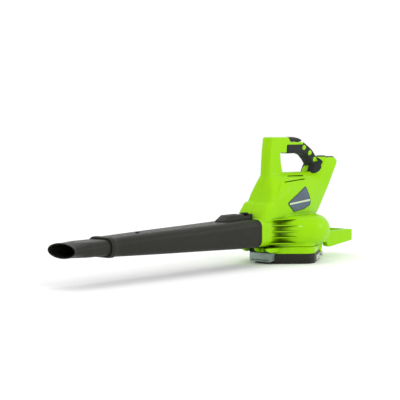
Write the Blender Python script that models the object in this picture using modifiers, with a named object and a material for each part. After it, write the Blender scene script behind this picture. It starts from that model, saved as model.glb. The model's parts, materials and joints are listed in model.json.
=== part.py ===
"""A cordless garden blower with a vertical fan, a top handle, a tilted battery and a two-piece tube.

The tube points along -X and the machine's left side is -Y. The origin is on the fan's axis, at the
flat underside of the inlet door, on which the machine stands.
"""

import math

import bmesh
import bpy
from mathutils import Matrix, Vector

MM = 0.001
GAP = 0.3 * MM
WALL = 3.0 * MM

# Heights of the layers, from the ground up.
DOOR_TOP = 26.7 * MM
RING_TOP = 45.7 * MM
SCROLL_LOW = 46.0 * MM
SCROLL_HIGH = 130.0 * MM
SCROLL_MID = (SCROLL_LOW + SCROLL_HIGH) / 2
ROOF_TOP = 131.0 * MM
SKIRT_TOP = 56.3 * MM

# The fan and its scroll.
SCROLL_RADIUS = 124.0 * MM
SCROLL_START_RADIUS = 102.0 * MM
SCROLL_BULGE = 40.0 * MM
CUTOFF_ANGLE = 205.0
CUTOFF_GROWTH = 95.0
FIN_ANGLE = 239.0
EYE_RADIUS = 62.0 * MM
FAN_LOW = 62.0 * MM

# The duct, the tube and the nozzle.
SEAM_X = -163.0 * MM
TUBE_MID = 87.5 * MM
TUBE_WALL = 2.5 * MM
SPIGOT_LENGTH = 42.0 * MM

# The handle, whose core is narrower than the column in front of it.
COLUMN_HALF = 16.5 * MM
CORE_HALF = 15.3 * MM
GRIP_PROUD = 2.0 * MM

# The battery bay, measured across the tilt (u) and along it (v).
BAY_TILT = math.radians(32.5)
BAY_BACK = 16.9 * MM
BAY_DEPTH = 46.4 * MM
BAY_HALF = 33.0 * MM
BAY_FLOOR = 206.0 * MM
PACK_FLOOR = 217.8 * MM

# The joints' axes.
DOOR_HINGE = Vector((111.0, 0.0, 12.5)) * MM
LATCH_PIVOT = Vector((-102.0, 0.0, 15.0)) * MM
TRIGGER_PIVOT = Vector((-8.5, 0.0, 315.0)) * MM
LEVER_PIVOT = Vector((53.0, 0.0, 327.2)) * MM
RELEASE_PIVOT = Vector((-171.0, 0.0, 137.0)) * MM
LOCK_BUTTON = Vector((-584.0, 0.0, 109.5)) * MM

# Screw places in the housing, as (x, z).
HOUSING_SCREWS = [(-68, 322), (-62, 264), (-89, 182), (0, 229), (86, 158), (-130, 145)]

GREEN = (0.342, 0.785, 0.006)
CHARCOAL = (0.040, 0.040, 0.034)
GRIP_BLACK = (0.016, 0.020, 0.020)
SLATE = (0.085, 0.115, 0.160)
LATCH_GREY = (0.165, 0.255, 0.205)
SILVER = (0.55, 0.58, 0.55)
STEEL = (0.45, 0.45, 0.46)
COPPER = (0.60, 0.25, 0.12)
BOARD = (0.02, 0.10, 0.05)
RED = (0.45, 0.02, 0.02)


def clear_scene():
    for obj in list(bpy.data.objects):
        bpy.data.objects.remove(obj, do_unlink=True)


def new_collection(name):
    collection = bpy.data.collections.new(name)
    bpy.context.scene.collection.children.link(collection)
    return collection


clear_scene()
PARTS = new_collection("garden_blower")
CUTTERS = new_collection("cutters")
MATERIALS = {}


def material(name, colour, roughness, metallic=0.0):
    if name not in MATERIALS:
        made = bpy.data.materials.new(name)
        made.use_nodes = True
        shader = made.node_tree.nodes["Principled BSDF"]
        shader.inputs["Base Color"].default_value = (*colour, 1.0)
        shader.inputs["Roughness"].default_value = roughness
        shader.inputs["Metallic"].default_value = metallic
        MATERIALS[name] = made
    return MATERIALS[name]


# Meshes and solids


def finish_mesh(name, work):
    bmesh.ops.remove_doubles(work, verts=work.verts, dist=1e-7)
    bmesh.ops.recalc_face_normals(work, faces=work.faces)
    mesh = bpy.data.meshes.new(name)
    work.to_mesh(mesh)
    work.free()
    return mesh


def solid(name, mesh, matrix=None):
    """An object that helps to make a part: it stays out of the render."""
    if matrix is not None:
        mesh.transform(matrix)
    obj = bpy.data.objects.new(name, mesh)
    obj.hide_render = True
    obj.display_type = "WIRE"
    CUTTERS.objects.link(obj)
    return obj


def boolean(obj, other, operation):
    modifier = obj.modifiers.new(operation.lower(), "BOOLEAN")
    modifier.operation = operation
    modifier.object = other
    return obj


def add(obj, *others):
    for other in others:
        boolean(obj, other, "UNION")
    return obj


def cut(obj, *others):
    for other in others:
        boolean(obj, other, "DIFFERENCE")
    return obj


def keep(obj, other):
    return boolean(obj, other, "INTERSECT")


def bevel(obj, width, segments=2, angle=30.0):
    modifier = obj.modifiers.new("bevel", "BEVEL")
    modifier.width = width
    modifier.segments = segments
    modifier.limit_method = "ANGLE"
    modifier.angle_limit = math.radians(angle)
    return obj


def baked(obj):
    """The object's mesh in world space, with its modifiers applied."""
    bpy.context.view_layer.update()
    graph = bpy.context.evaluated_depsgraph_get()
    mesh = bpy.data.meshes.new_from_object(obj.evaluated_get(graph))
    mesh.transform(obj.matrix_world)
    return mesh


def part(name, source, paint, origin=(0.0, 0.0, 0.0), smooth=35.0):
    """A finished sub-part, with its origin where its joint is."""
    mesh = baked(source) if isinstance(source, bpy.types.Object) else source
    mesh.name = name
    mesh.transform(Matrix.Translation(-Vector(origin)))
    mesh.materials.clear()
    mesh.materials.append(paint)
    mesh.shade_smooth()
    mesh.set_sharp_from_angle(angle=math.radians(smooth))
    obj = bpy.data.objects.new(name, mesh)
    obj.location = origin
    PARTS.objects.link(obj)
    return obj


def box(name, low, high):
    work = bmesh.new()
    bmesh.ops.create_cube(work, size=1.0)
    size = [(b - a) * MM for a, b in zip(low, high)]
    middle = Vector([(a + b) / 2 * MM for a, b in zip(low, high)])
    bmesh.ops.scale(work, vec=size, verts=work.verts)
    bmesh.ops.translate(work, vec=middle, verts=work.verts)
    return solid(name, finish_mesh(name, work))


TURN = {
    "X": Matrix.Rotation(math.radians(90), 4, "Y"),
    "Y": Matrix.Rotation(math.radians(-90), 4, "X"),
    "Z": Matrix.Identity(4),
}


def cylinder(name, radius, low, high, centre=(0, 0, 0), axis="Z", sides=18):
    """A round bar from low to high along an axis, in millimetres."""
    work = bmesh.new()
    bmesh.ops.create_cone(
        work,
        cap_ends=True,
        segments=sides,
        radius1=radius * MM,
        radius2=radius * MM,
        depth=(high - low) * MM,
    )
    bmesh.ops.translate(work, vec=(0, 0, (low + high) / 2 * MM), verts=work.verts)
    return solid(name, finish_mesh(name, work), Matrix.Translation(Vector(centre) * MM) @ TURN[axis])


def turned(name, profile, steps=48):
    """A solid of revolution about +Z. The profile is (radius, height) in mm, down its outer side."""
    mesh = bpy.data.meshes.new(name)
    points = [(radius * MM, 0.0, height * MM) for radius, height in profile]
    closed = profile[0][0] > 0
    edges = [(i, i + 1) for i in range(len(points) - 1)]
    if closed:
        edges.append((len(points) - 1, 0))
    mesh.from_pydata(points, edges, [])
    obj = solid(name, mesh)
    screw = obj.modifiers.new("turn", "SCREW")
    screw.steps = steps
    screw.render_steps = steps
    screw.use_merge_vertices = True
    screw.merge_threshold = 1e-6
    return solid(name + "_solid", outward(baked(obj)))


def outward(mesh, flatten=0.0):
    """The mesh with its faces turned out. Faces within flatten degrees of one plane are joined."""
    work = bmesh.new()
    work.from_mesh(mesh)
    bmesh.ops.remove_doubles(work, verts=work.verts, dist=1e-7)
    if flatten:
        bmesh.ops.dissolve_limit(
            work, angle_limit=math.radians(flatten), verts=work.verts, edges=work.edges
        )
        bmesh.ops.triangulate(work, faces=work.faces)
    bmesh.ops.recalc_face_normals(work, faces=work.faces)
    work.to_mesh(mesh)
    work.free()
    return mesh


def loft(name, rings, ends="caps"):
    """A closed solid through rings of as many points each, with caps or with its ends joined."""
    work = bmesh.new()
    rows = [[work.verts.new(point) for point in ring] for ring in rings]
    count = len(rows[0])
    pairs = list(zip(rows, rows[1:]))
    if ends == "joined":
        pairs.append((rows[-1], rows[0]))
    for lower, upper in pairs:
        for i in range(count):
            j = (i + 1) % count
            work.faces.new((lower[i], lower[j], upper[j], upper[i]))
    if ends == "caps":
        work.faces.new(rows[0][::-1])
        work.faces.new(rows[-1])
    return solid(name, finish_mesh(name, work))


def round_corners(corners, steps=2):
    """A closed outline in mm whose corners (x, y, radius) become arcs of steps + 1 points."""
    points = []
    count = len(corners)
    for i, (x, y, radius) in enumerate(corners):
        here = Vector((x, y))
        back = Vector(corners[i - 1][:2]) - here
        ahead = Vector(corners[(i + 1) % count][:2]) - here
        if radius == 0:
            points.append(here)
            continue
        half = back.angle(ahead) / 2
        reach = min(radius / math.tan(half), 0.48 * back.length, 0.48 * ahead.length)
        radius = reach * math.tan(half)
        centre = here + (back.normalized() + ahead.normalized()).normalized() * radius / math.sin(half)
        start = here + back.normalized() * reach - centre
        side = 1 if back.cross(ahead) < 0 else -1
        sweep = side * (math.pi - 2 * half)
        for k in range(steps + 1):
            points.append(centre + Matrix.Rotation(sweep * k / steps, 2) @ start)
    return points


def inset(outline, distance):
    """The outline in mm moved inwards, each corner along its bisector; it runs anticlockwise."""
    moved = []
    count = len(outline)
    for i, here in enumerate(outline):
        back = (here - outline[i - 1]).normalized()
        ahead = (outline[(i + 1) % count] - here).normalized()
        normal = Vector((-back.y - ahead.y, back.x + ahead.x)).normalized()
        across = normal.dot(Vector((-ahead.y, ahead.x)))
        moved.append(here + normal * distance / max(across, 0.4))
    return moved


def plate(name, outlines, low, high, normal="Z"):
    """A flat outline, with any holes after it, made thick from low to high. All are in mm.

    With normal Y the outline is (x, z), and with normal X it is (y, z).
    """
    curve = bpy.data.curves.new(name, "CURVE")
    curve.dimensions = "2D"
    curve.fill_mode = "BOTH"
    curve.extrude = (high - low) / 2 * MM
    for outline in outlines:
        spline = curve.splines.new("POLY")
        spline.points.add(len(outline) - 1)
        spline.use_cyclic_u = True
        for point, (x, y) in zip(spline.points, outline):
            point.co = (x * MM, y * MM, 0.0, 1.0)
    obj = bpy.data.objects.new(name, curve)
    CUTTERS.objects.link(obj)
    middle = (low + high) / 2 * MM
    if normal == "Z":
        matrix = Matrix.Translation((0, 0, middle))
    elif normal == "Y":
        matrix = Matrix.Translation((0, middle, 0)) @ Matrix.Rotation(math.radians(90), 4, "X")
    else:
        matrix = Matrix.Translation((middle, 0, 0)) @ Matrix(
            ((0, 0, 1, 0), (1, 0, 0, 0), (0, 1, 0, 0), (0, 0, 0, 1))
        )
    bpy.context.view_layer.update()
    mesh = baked(obj)
    bpy.data.objects.remove(obj)
    return solid(name, outward(mesh), matrix)


def wire(name, points, radius, paint):
    """A cable of POLY points in mm, read from a smooth curve through them."""
    curve = bpy.data.curves.new(name, "CURVE")
    curve.dimensions = "3D"
    curve.bevel_depth = radius * MM
    curve.bevel_resolution = 2
    curve.use_fill_caps = True
    through = [Vector(point) * MM for point in points]
    route = smooth_route(through, 2)
    spline = curve.splines.new("POLY")
    spline.points.add(len(route) - 1)
    for point, place in zip(spline.points, route):
        point.co = (*place, 1.0)
    obj = bpy.data.objects.new(name + "_route", curve)
    CUTTERS.objects.link(obj)
    mesh = outward(baked(obj))
    bpy.data.objects.remove(obj)
    return part(name, mesh, paint)


def smooth_route(points, steps):
    ends = [2 * points[0] - points[1], *points, 2 * points[-1] - points[-2]]
    route = []
    for before, start, end, after in zip(ends, ends[1:], ends[2:], ends[3:]):
        for k in range(steps):
            t = k / steps
            route.append(
                0.5
                * (
                    2 * start
                    + (end - before) * t
                    + (2 * before - 5 * start + 4 * end - after) * t * t
                    + (3 * start - before - 3 * end + after) * t**3
                )
            )
    return [*route, points[-1]]


# Shapes of the housing


BODY = [  # height; front and rear x; half-widths at the front, the middle and the rear
    (118, -158, 100, 46.0, 49.5, 28),
    (127, -157, 105, 46.5, 50.0, 30),
    (144, -148, 116, 46.0, 50.0, 33),
    (163, -135, 127, 45.0, 50.0, 35),
    (167, -130, 129, 44.0, 50.0, 35),
    (169, -117, 130, 45.0, 50.0, 35),
    (187, -110, 141, 41.0, 49.5, 36),
    (206, -103.5, 153, 33.5, 46.5, 36),
    (222, -99, 163, 27.0, 39.0, 35),
    (236, -94.5, 150, 22.0, 27.0, 27),
    (244, -91, 132, 16.0, 17.0, 17),
    (247, -88, 124, 12.0, 12.0, 12),
]


def body_ring(height, front, rear, half_front, half_middle, half_rear, grow):
    corners = [
        (front - grow, -half_front - grow, 12),
        (-50, -half_middle - grow, 30),
        (45, -half_middle - grow, 30),
        (rear + grow, -half_rear - grow, 10),
        (rear + grow, half_rear + grow, 10),
        (45, half_middle + grow, 30),
        (-50, half_middle + grow, 30),
        (front - grow, half_front + grow, 12),
    ]
    return [Vector((x, y, height)) * MM for x, y in round_corners(corners, 2)]


def body(name, grow=0.0, floor=None):
    rows = [list(row) for row in BODY]
    if floor is not None:
        rows = [row for row in rows if row[0] > floor + 3]
        rows.insert(0, [floor, *rows[0][1:]])
    rows[-1][0] += grow
    return loft(name, [body_ring(*row, grow) for row in rows])


BLOCK = [  # height; front and rear x; half-widths at the front, the shoulder and the rear
    (150, 30, 122, 30, 33, 33),
    (206, 62, 156, 24, 36.5, 37),
    (240, 94, 177.5, 19, 36.5, 37),
    (262, 106, 191.5, 18, 36.5, 37),
    (274, 115, 198.0, 18, 36.5, 37),
    (282, 121, 194.0, 17, 36.0, 36),
    (288, 129, 180, 13, 32.5, 32.5),
]


def block_ring(height, front, rear, half_front, half_shoulder, half_rear, grow):
    shoulder = front + 22
    corners = [
        (front - grow, -half_front - grow, 8),
        (shoulder, -half_shoulder - grow, 12),
        (rear + grow, -half_rear - grow, 8),
        (rear + grow, half_rear + grow, 8),
        (shoulder, half_shoulder + grow, 12),
        (front - grow, half_front + grow, 8),
    ]
    return [Vector((x, y, height)) * MM for x, y in round_corners(corners, 2)]


def block(name, grow=0.0):
    rows = [list(row) for row in BLOCK]
    rows[-1][0] += grow
    return loft(name, [block_ring(*row, grow) for row in rows])


def scroll_radius(angle):
    """The scroll's outer radius, from its cutoff round to where it flows into the duct."""
    past = min((angle - CUTOFF_ANGLE) / CUTOFF_GROWTH, 1.0)
    eased = past * past * (3 - 2 * past)
    return SCROLL_START_RADIUS + (SCROLL_RADIUS - SCROLL_START_RADIUS) * eased


def scroll(name, grow=0.0, turns=36, steps=5):
    """The scroll as a solid, cut in wedges: a half-round outer wall between a flat roof and floor."""
    rings = []
    grow *= MM
    half_height = (SCROLL_HIGH - SCROLL_LOW) / 2 + grow
    for k in range(turns):
        angle = CUTOFF_ANGLE + 360.0 * k / turns
        radius = scroll_radius(angle) + grow
        inner = radius - SCROLL_BULGE - grow
        row = [(0.0, SCROLL_MID - half_height)]
        for i in range(steps + 1):
            turn = math.radians(-90 + 180 * i / steps)
            reach = (SCROLL_BULGE + grow) * math.cos(turn)
            row.append((inner + reach, SCROLL_MID + half_height * math.sin(turn)))
        row.append((0.0, SCROLL_MID + half_height))
        out = Vector((math.cos(math.radians(angle)), math.sin(math.radians(angle)), 0))
        rings.append([out * r + Vector((0, 0, z)) for r, z in row])
    work = bmesh.new()
    rows = [[work.verts.new(point) for point in ring] for ring in rings]
    for first, second in zip(rows, rows[1:] + rows[:1]):
        for i in range(len(first) - 1):
            if i == 0:
                work.faces.new((first[0], first[1], second[1]))
            elif i == len(first) - 2:
                work.faces.new((first[i], first[i + 1], second[i]))
            else:
                work.faces.new((first[i], first[i + 1], second[i + 1], second[i]))
    return solid(name, finish_mesh(name, work))


DUCT = [  # x; near and far y; low and high z; corner radius
    (10, -40, 122, 47.0, 129.0, 38),
    (-40, -48, 118, 47.0, 129.0, 36),
    (-80, -48, 102, 47.5, 128.7, 32),
    (-120, -48, 74, 49.0, 128.0, 26),
    (-146, -48.5, 55, 50.2, 126.0, 22),
    (-163, -49, 49, 50.3, 125.3, 20),
]


SPIGOT = (-45.6, 45.6, 53.7, 121.9, 17)
SPIGOT_BORE = (-42.8, 42.8, 56.5, 119.1, 14.5)


def rectangle_ring(x, low_y, high_y, low_z, high_z, radius, steps=4):
    corners = [
        (low_y, low_z, radius),
        (high_y, low_z, radius),
        (high_y, high_z, radius),
        (low_y, high_z, radius),
    ]
    return [Vector((x, y, z)) * MM for y, z in round_corners(corners, steps)]


def duct(name, grow=0.0):
    rows = [
        (x, low_y - grow, high_y + grow, low_z - grow, high_z + grow, radius + grow)
        for x, low_y, high_y, low_z, high_z, radius in DUCT
    ]
    return loft(name, [rectangle_ring(*row, 3) for row in rows])


def duct_space(name):
    """The air's way through the duct, narrowing to the spigot's bore behind the seam."""
    rows = [
        (x, low_y + 3, high_y - 3, low_z + 3, high_z - 3, radius - 3)
        for x, low_y, high_y, low_z, high_z, radius in DUCT[:-1]
    ]
    rows.append((-152, *SPIGOT_BORE))
    rows.append((SEAM_X / MM - SPIGOT_LENGTH / MM - 10, *SPIGOT_BORE))
    return loft(name, [rectangle_ring(*row, 3) for row in rows])


HANDLE_OUTER = [
    (-14, 324, 0),
    (20, 328.3, 4),
    (62, 328.8, 10),
    (78, 321, 14),
    (100, 308.5, 30),
    (122, 287, 30),
    (152, 258, 6),
]
HANDLE_INNER = [
    (150, 244, 6),
    (108, 244, 4),
    (112, 258, 16),
    (93, 280, 30),
    (74, 295.3, 20),
    (48, 302.0, 20),
    (-14, 303.5, 0),
]


def handle_core(name, grow=0.0):
    outline = list(reversed(round_corners(HANDLE_OUTER + HANDLE_INNER, 2)))
    outline = inset(outline, -grow)
    half = CORE_HALF / MM + grow
    return bevel(plate(name, [outline], -half, half, "Y"), 6 * MM, 1, 50)


FRONT = [
    (-94, 236, 4),
    (-28, 236, 4),
    (-34, 250, 12),
    (-41, 272, 20),
    (-44, 301.5, 3),
    (-15.7, 301.5, 2),
    (-14.5, 323.5, 2),
    (62, 325.0, 2),
    (58.5, 331.0, 2),
    (2.5, 330.7, 2),
    (-7.5, 344.5, 2),
    (-82, 344.5, 6),
    (-88, 308, 40),
    (-92, 252, 30),
]


def front_column(name, grow=0.0):
    outline = inset(round_corners(FRONT, 2), -grow)
    half = COLUMN_HALF / MM + grow
    return bevel(plate(name, [outline], -half, half, "Y"), 4 * MM, 1, 50)


COLUMN_SPACE = [
    (-91, 238, 4),
    (-31, 238, 4),
    (-37, 251, 12),
    (-44, 272, 20),
    (-47, 304.5, 3),
    (-18, 304.5, 2),
    (-17, 326.5, 2),
    (-2, 327, 2),
    (-11, 341.5, 2),
    (-79, 341.5, 4),
    (-85, 308, 40),
    (-89, 252, 30),
]


def column_space(name):
    half = (COLUMN_HALF - WALL) / MM
    return plate(name, [round_corners(COLUMN_SPACE, 1)], -half, half, "Y")


def bay_point(across, along):
    """(x, z) in metres of a place in the tilted bay."""
    x = across * math.cos(BAY_TILT) + along * math.sin(BAY_TILT)
    z = -across * math.sin(BAY_TILT) + along * math.cos(BAY_TILT)
    return x, z


def bay(name, grow=0.0, top=380.0):
    low, high = BAY_BACK / MM - BAY_DEPTH / MM - grow, BAY_BACK / MM + grow
    floor = BAY_FLOOR / MM - grow
    outline = [bay_point(low, floor), bay_point(high, floor), bay_point(high, top), bay_point(low, top)]
    half = BAY_HALF / MM + grow
    return plate(name, [outline], -half, half, "Y")


def fins(name):
    """Five level fins across the valley between the duct and the scroll, each ending on the bulge."""
    made = []
    for height in (57.5, 73.5, 90.0, 106.5, 122.5):
        level = (height - SCROLL_MID / MM) / (SCROLL_HIGH - SCROLL_MID) * MM
        depth = SCROLL_BULGE / MM * (1 - math.sqrt(1 - level * level))
        angle = math.radians(FIN_ANGLE)
        radius = scroll_radius(FIN_ANGLE) / MM - depth + 0.4
        end = (radius * math.cos(angle), radius * math.sin(angle))
        outline = [(-128, -46), (-124, -48.6), end, (end[0], -44), (-60, -40)]
        outline = [Vector(point) for point in outline]
        made.append(plate(f"{name}_{round(height)}", [outline], height - 1.1, height + 1.1))
    return made


def slot_cutter(name, x0, z0, x1, z1, width):
    """A slanted slot through both side walls, from (x0, z0) to (x1, z1)."""
    along = Vector((x1 - x0, z1 - z0)).normalized()
    across = Vector((-along.y, along.x)) * width / 2
    ends = [Vector((x0, z0)), Vector((x1, z1))]
    outline = [ends[0] + across, ends[0] - across, ends[1] - across, ends[1] + across]
    return plate(name, [outline], -60, 60, "Y")


VENTS = [(-26, 237.3, 47, 236.7), (-54, 221.5, 44, 228.0)]


def bosses():
    made = []
    for i, (x, z) in enumerate(HOUSING_SCREWS):
        made.append(cylinder(f"boss_{i}", 6, -60, 60, (x, 0, z), "Y", 12))
    return made


def side_depth(x, z):
    """How deep a screw's head sits from the middle plane."""
    return 7.5 if z > 250 else 12.0


def housing_shell():
    outer = body("housing_outer")
    add(outer, duct("duct_outer"), scroll("scroll_outer"), block("block_outer"))
    add(outer, plate("skirt", [base_outline(1.2)], SCROLL_LOW / MM, SKIRT_TOP / MM))
    add(outer, front_column("column_outer"), handle_core("handle_outer"))
    outer.modifiers[-1].solver = "MANIFOLD"
    add(outer, *fins("fin"))
    spigot_end = (SEAM_X - SPIGOT_LENGTH) / MM
    add(outer, loft("spigot", [rectangle_ring(x, *SPIGOT, 3) for x in (-155, spigot_end)]))
    outer = solid("housing_solid", outward(baked(outer), 1.5))

    cavity = body("cavity", -WALL / MM, ROOF_TOP / MM)
    add(cavity, column_space("column_inner"), handle_core("handle_inner", -WALL / MM))
    cut(cavity, bay("bay_walls", WALL / MM, 300), *bosses())
    add(cavity, bay("bay_space"))
    add(cavity, scroll("scroll_inner", -WALL / MM), duct_space("duct_inner"))
    add(cavity, cylinder("eye", EYE_RADIUS / MM, 30, 60, sides=32), cylinder("shaft_hole", 9, 120, 140))
    cavity = solid("housing_cavity", outward(baked(cavity), 3.0))

    shell = cut(outer, cavity)
    cut(shell, box("trigger_slot", (-14.2, -12.3, 290), (30, 12.3, 322.6)))
    cut(shell, box("lever_slot", (48.5, -5.3, 321), (60, 5.3, 335)))
    cut(shell, box("plunger_hole", (-19, -3.4, 309.6), (-13, 3.4, 314.4)))
    cut(shell, box("wire_hole", (80, -8, 178), (110, 8, 196)))
    for i, pivot in enumerate((TRIGGER_PIVOT, LEVER_PIVOT)):
        cut(shell, cylinder(f"pin_hole_{i}", 1.8, -14.4, 14.4, pivot / MM, "Y", 12))
    for i, vent in enumerate(VENTS):
        cut(shell, slot_cutter(f"vent_{i}", *vent, 2.2))
    for i, (x, z) in enumerate(HOUSING_SCREWS):
        head = side_depth(x, z)
        cut(shell, cylinder(f"screw_well_{i}", 4.3, head, 60, (x, 0, z), "Y", 16))
        cut(shell, cylinder(f"screw_hole_{i}", 2.0, -9, head + 1, (x, 0, z), "Y", 12))
    return outward(baked(shell))


def housing():
    shell = housing_shell()
    green = material("green_shell", GREEN, 0.32)
    for name, low, high in (("housing_left", -200, -0.15), ("housing_right", 0.15, 200)):
        half = solid(name + "_whole", shell.copy())
        keep(half, box(name + "_side", (-400, low, 20), (300, high, 400)))
        part(name, half, green)
    for i, (x, z) in enumerate(HOUSING_SCREWS):
        head = side_depth(x, z)
        screw = cylinder(f"screw_{i}", 3.8, head + 0.3, head + 2.8, (x, 0, z), "Y", 12)
        add(screw, cylinder(f"shank_{i}", 1.6, -8, head + 1, (x, 0, z), "Y", 8))
        cut(screw, cylinder(f"drive_{i}", 1.5, head + 1.4, head + 4, (x, 0, z), "Y", 6))
        part(f"housing_screw_{i + 1}", screw, material("steel", STEEL, 0.35, 1.0))


# The grip, the trigger and the lever

GRIP_AREA = [
    (-14.0, 322.9, 2),
    (63, 323.9, 3),
    (59.5, 334, 2),
    (80, 330, 4),
    (121, 306, 6),
    (121.5, 292, 2),
    (127, 284, 3),
    (131, 275, 2.5),
    (122.5, 265, 3),
    (120.5, 257, 6),
    (113, 248.5, 10),
    (102, 242, 12),
    (88, 245, 8),
    (80, 262, 10),
    (66, 288, 16),
    (40, 297, 16),
    (-14.0, 297, 2),
]
GRIP_OVALS = [(62.5, 315.5), (89.5, 300.5), (112.5, 281.5)]


def oval(centre, half_long, half_short, tilt, steps=14):
    points = []
    for k in range(steps):
        turn = 2 * math.pi * k / steps
        egg = 1 + 0.12 * math.cos(turn)
        point = Vector((half_long * math.cos(turn), half_short * egg * math.sin(turn)))
        points.append(Vector(centre) + Matrix.Rotation(math.radians(tilt), 2) @ point)
    return points


def grips():
    area = list(reversed(round_corners(GRIP_AREA, 2)))
    rubber = material("grip", GRIP_BLACK, 0.75)
    skin = handle_core("skin_outer", GRIP_PROUD / MM)
    add(skin, block("skin_block", GRIP_PROUD / MM))
    keep(skin, plate("grip_area", [area], -60, 60, "Y"))
    cut(skin, handle_core("skin_inner", GAP / MM), block("skin_block_inner", GAP / MM))
    cut(skin, front_column("skin_column", GAP / MM), body("skin_body", GAP / MM))
    cut(skin, box("grip_trigger_slot", (-20, -12.3, 290), (30, 12.3, 312)))
    for modifier in skin.modifiers:
        if modifier.type == "BOOLEAN":
            modifier.solver = "MANIFOLD"
    skin = outward(baked(skin))
    for name, low, high in (("grip_left", -200, -0.15), ("grip_right", 0.15, 200)):
        half = solid(name + "_whole", skin.copy())
        keep(half, box(name + "_side", (-400, low, 20), (300, high, 400)))
        if low > 0:
            cut(half, box("grip_front_opening", (60, -1, 230), (130, 19.2, 264)))
        half = solid(name + "_half", outward(baked(half)))
        for i, (x, z) in enumerate(GRIP_OVALS):
            edges = sorted((math.copysign(10.0, low + high), math.copysign(30.0, low + high)))
            cut(half, plate(f"{name}_oval_{i}", [oval((x, z), 7.6, 9.4, -75)], *edges, "Y"))
            half.modifiers[-1].solver = "MANIFOLD"
        part(name, half, rubber)


def trigger():
    outline = [
        (-13.3, 320.5, 3),
        (-13.3, 300.5, 3),
        (-4, 299.0, 8),
        (24, 299.5, 5),
        (28.5, 303, 3),
        (28.5, 315, 2),
        (-2, 320.5, 2),
    ]
    finger = bevel(plate("trigger_solid", [round_corners(outline)], -11.9, 11.9, "Y"), 1.5 * MM)
    cut(finger, cylinder("trigger_bore", 1.85, -20, 20, TRIGGER_PIVOT / MM, "Y", 16))
    black = material("control", CHARCOAL, 0.5)
    part("trigger", finger, black, TRIGGER_PIVOT)
    steel = material("steel", STEEL, 0.35, 1.0)
    pin = cylinder("trigger_pin_solid", 1.5, -14, 14, TRIGGER_PIVOT / MM, "Y", 16)
    part("trigger_pin", pin, steel, TRIGGER_PIVOT)


def cruise_lever():
    outline = [
        (-5.5, 343.6, 1.5),
        (4.5, 332.6, 3),
        (12, 331.5, 2),
        (49, 331.6, 0),
        (53, 332.6, 0),
        (55, 334.3, 0),
        (57.0, 336.4, 1),
        (42, 342.5, 20),
        (18, 347.0, 8),
        (4, 344.6, 6),
    ]
    lug = [(50.0, 336, 0), (50.0, 324.2, 3), (56.0, 324.2, 3), (56.0, 336, 0)]
    lever = bevel(plate("lever_solid", [round_corners(outline)], -13, 13, "Y"), 1.5 * MM, 1, 40)
    add(lever, plate("lever_lug", [round_corners(lug)], -4.9, 4.9, "Y"))
    cut(lever, cylinder("lever_bore", 1.85, -20, 20, LEVER_PIVOT / MM, "Y", 16))
    part("cruise_lever", lever, material("control", CHARCOAL, 0.5), LEVER_PIVOT)
    steel = material("steel", STEEL, 0.35, 1.0)
    pin = cylinder("lever_pin_solid", 1.5, -14, 14, LEVER_PIVOT / MM, "Y", 16)
    part("cruise_lever_pin", pin, steel, LEVER_PIVOT)


def badges():
    outline = [(30, 208.5, 3), (47, 171, 6), (48, 157, 8), (18, 146, 10), (-27, 140, 4), (-56, 164, 5)]
    area = list(reversed(round_corners(outline)))
    plates = body("badge_outer", 1.4)
    keep(plates, plate("badge_area", [area], -70, 70, "Y"))
    cut(plates, body("badge_inner", GAP / MM))
    cut(plates, box("badge_middle", (-80, -35, 100), (80, 35, 240)))
    sheet = outward(baked(plates))
    for name, low, high in (("badge_left", -200, -20), ("badge_right", 20, 200)):
        half = solid(name + "_whole", sheet.copy())
        keep(half, box(name + "_side", (-400, low, 20), (300, high, 400)))
        part(name, half, material("badge", SLATE, 0.45))


# The motor and the fan


def motor():
    steel = material("steel", STEEL, 0.35, 1.0)
    alloy = material("alloy", SILVER, 0.45, 1.0)
    mount = [
        (44, 134.3),
        (44, 131.3),
        (14.3, 131.3),
        (9, 131.3),
        (9, 132.6),
        (11.3, 132.6),
        (11.3, 140),
        (14.5, 140),
        (14.5, 134.3),
    ]
    cap = [
        (38, 189.5),
        (38, 186.3),
        (9, 186.3),
        (9, 187.5),
        (11.3, 187.5),
        (11.3, 196),
        (14.5, 196),
        (14.5, 189.5),
    ]
    part("motor_mount", turned("mount", mount, 24), alloy)
    part("motor_end_cap", turned("cap", cap, 24), alloy)
    for name, low, high in (("lower_bearing", 133, 140), ("upper_bearing", 188, 195)):
        bearing = turned(name + "_ring", [(11, high), (11, low), (4.3, low), (4.3, high)], 18)
        part(name, bearing, steel)
    can = turned("can", [(38, 186), (38, 134.6), (36, 134.6), (36, 186)], 28)
    part("motor_can", can, steel)
    stator = turned("stator_ring", [(35.7, 182), (35.7, 142), (30, 142), (30, 182)], 24)
    for k in range(12):
        turn = Matrix.Rotation(math.radians(30 * k), 4, "Z")
        tooth = box(f"tooth_{k}", (21.5, -3.4, 144), (31, 3.4, 180))
        tooth.data.transform(turn)
        add(stator, tooth)
    part("motor_stator", stator, material("copper", COPPER, 0.4, 1.0))
    part("motor_shaft", cylinder("shaft", 4, 58, 199), steel)
    rotor = turned("rotor", [(21, 181), (21, 143), (4.3, 143), (4.3, 181)], 24)
    part("motor_rotor", rotor, material("dark_steel", CHARCOAL, 0.4, 0.8))
    part("fan_nut", nut(), steel)


def nut():
    body_of_nut = cylinder("nut", 7, 63, 69.7, sides=6)
    return cut(body_of_nut, cylinder("nut_bore", 4.3, 55, 75))


def blade_outline(count=4):
    """A blade that sweeps back as it goes out, 2.4 mm thick."""
    inner, outer, sweep, half = 34.0, 82.0, math.radians(34), 1.2
    middle = []
    for k in range(count):
        t = k / (count - 1)
        radius = inner + (outer - inner) * t
        middle.append(Vector((radius * math.cos(sweep * t), radius * math.sin(sweep * t))))
    left, right = [], []
    for i, point in enumerate(middle):
        along = (middle[min(i + 1, count - 1)] - middle[max(i - 1, 0)]).normalized()
        normal = Vector((-along.y, along.x)) * half
        left.append(point + normal)
        right.append(point - normal)
    return right + left[::-1]


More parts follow.
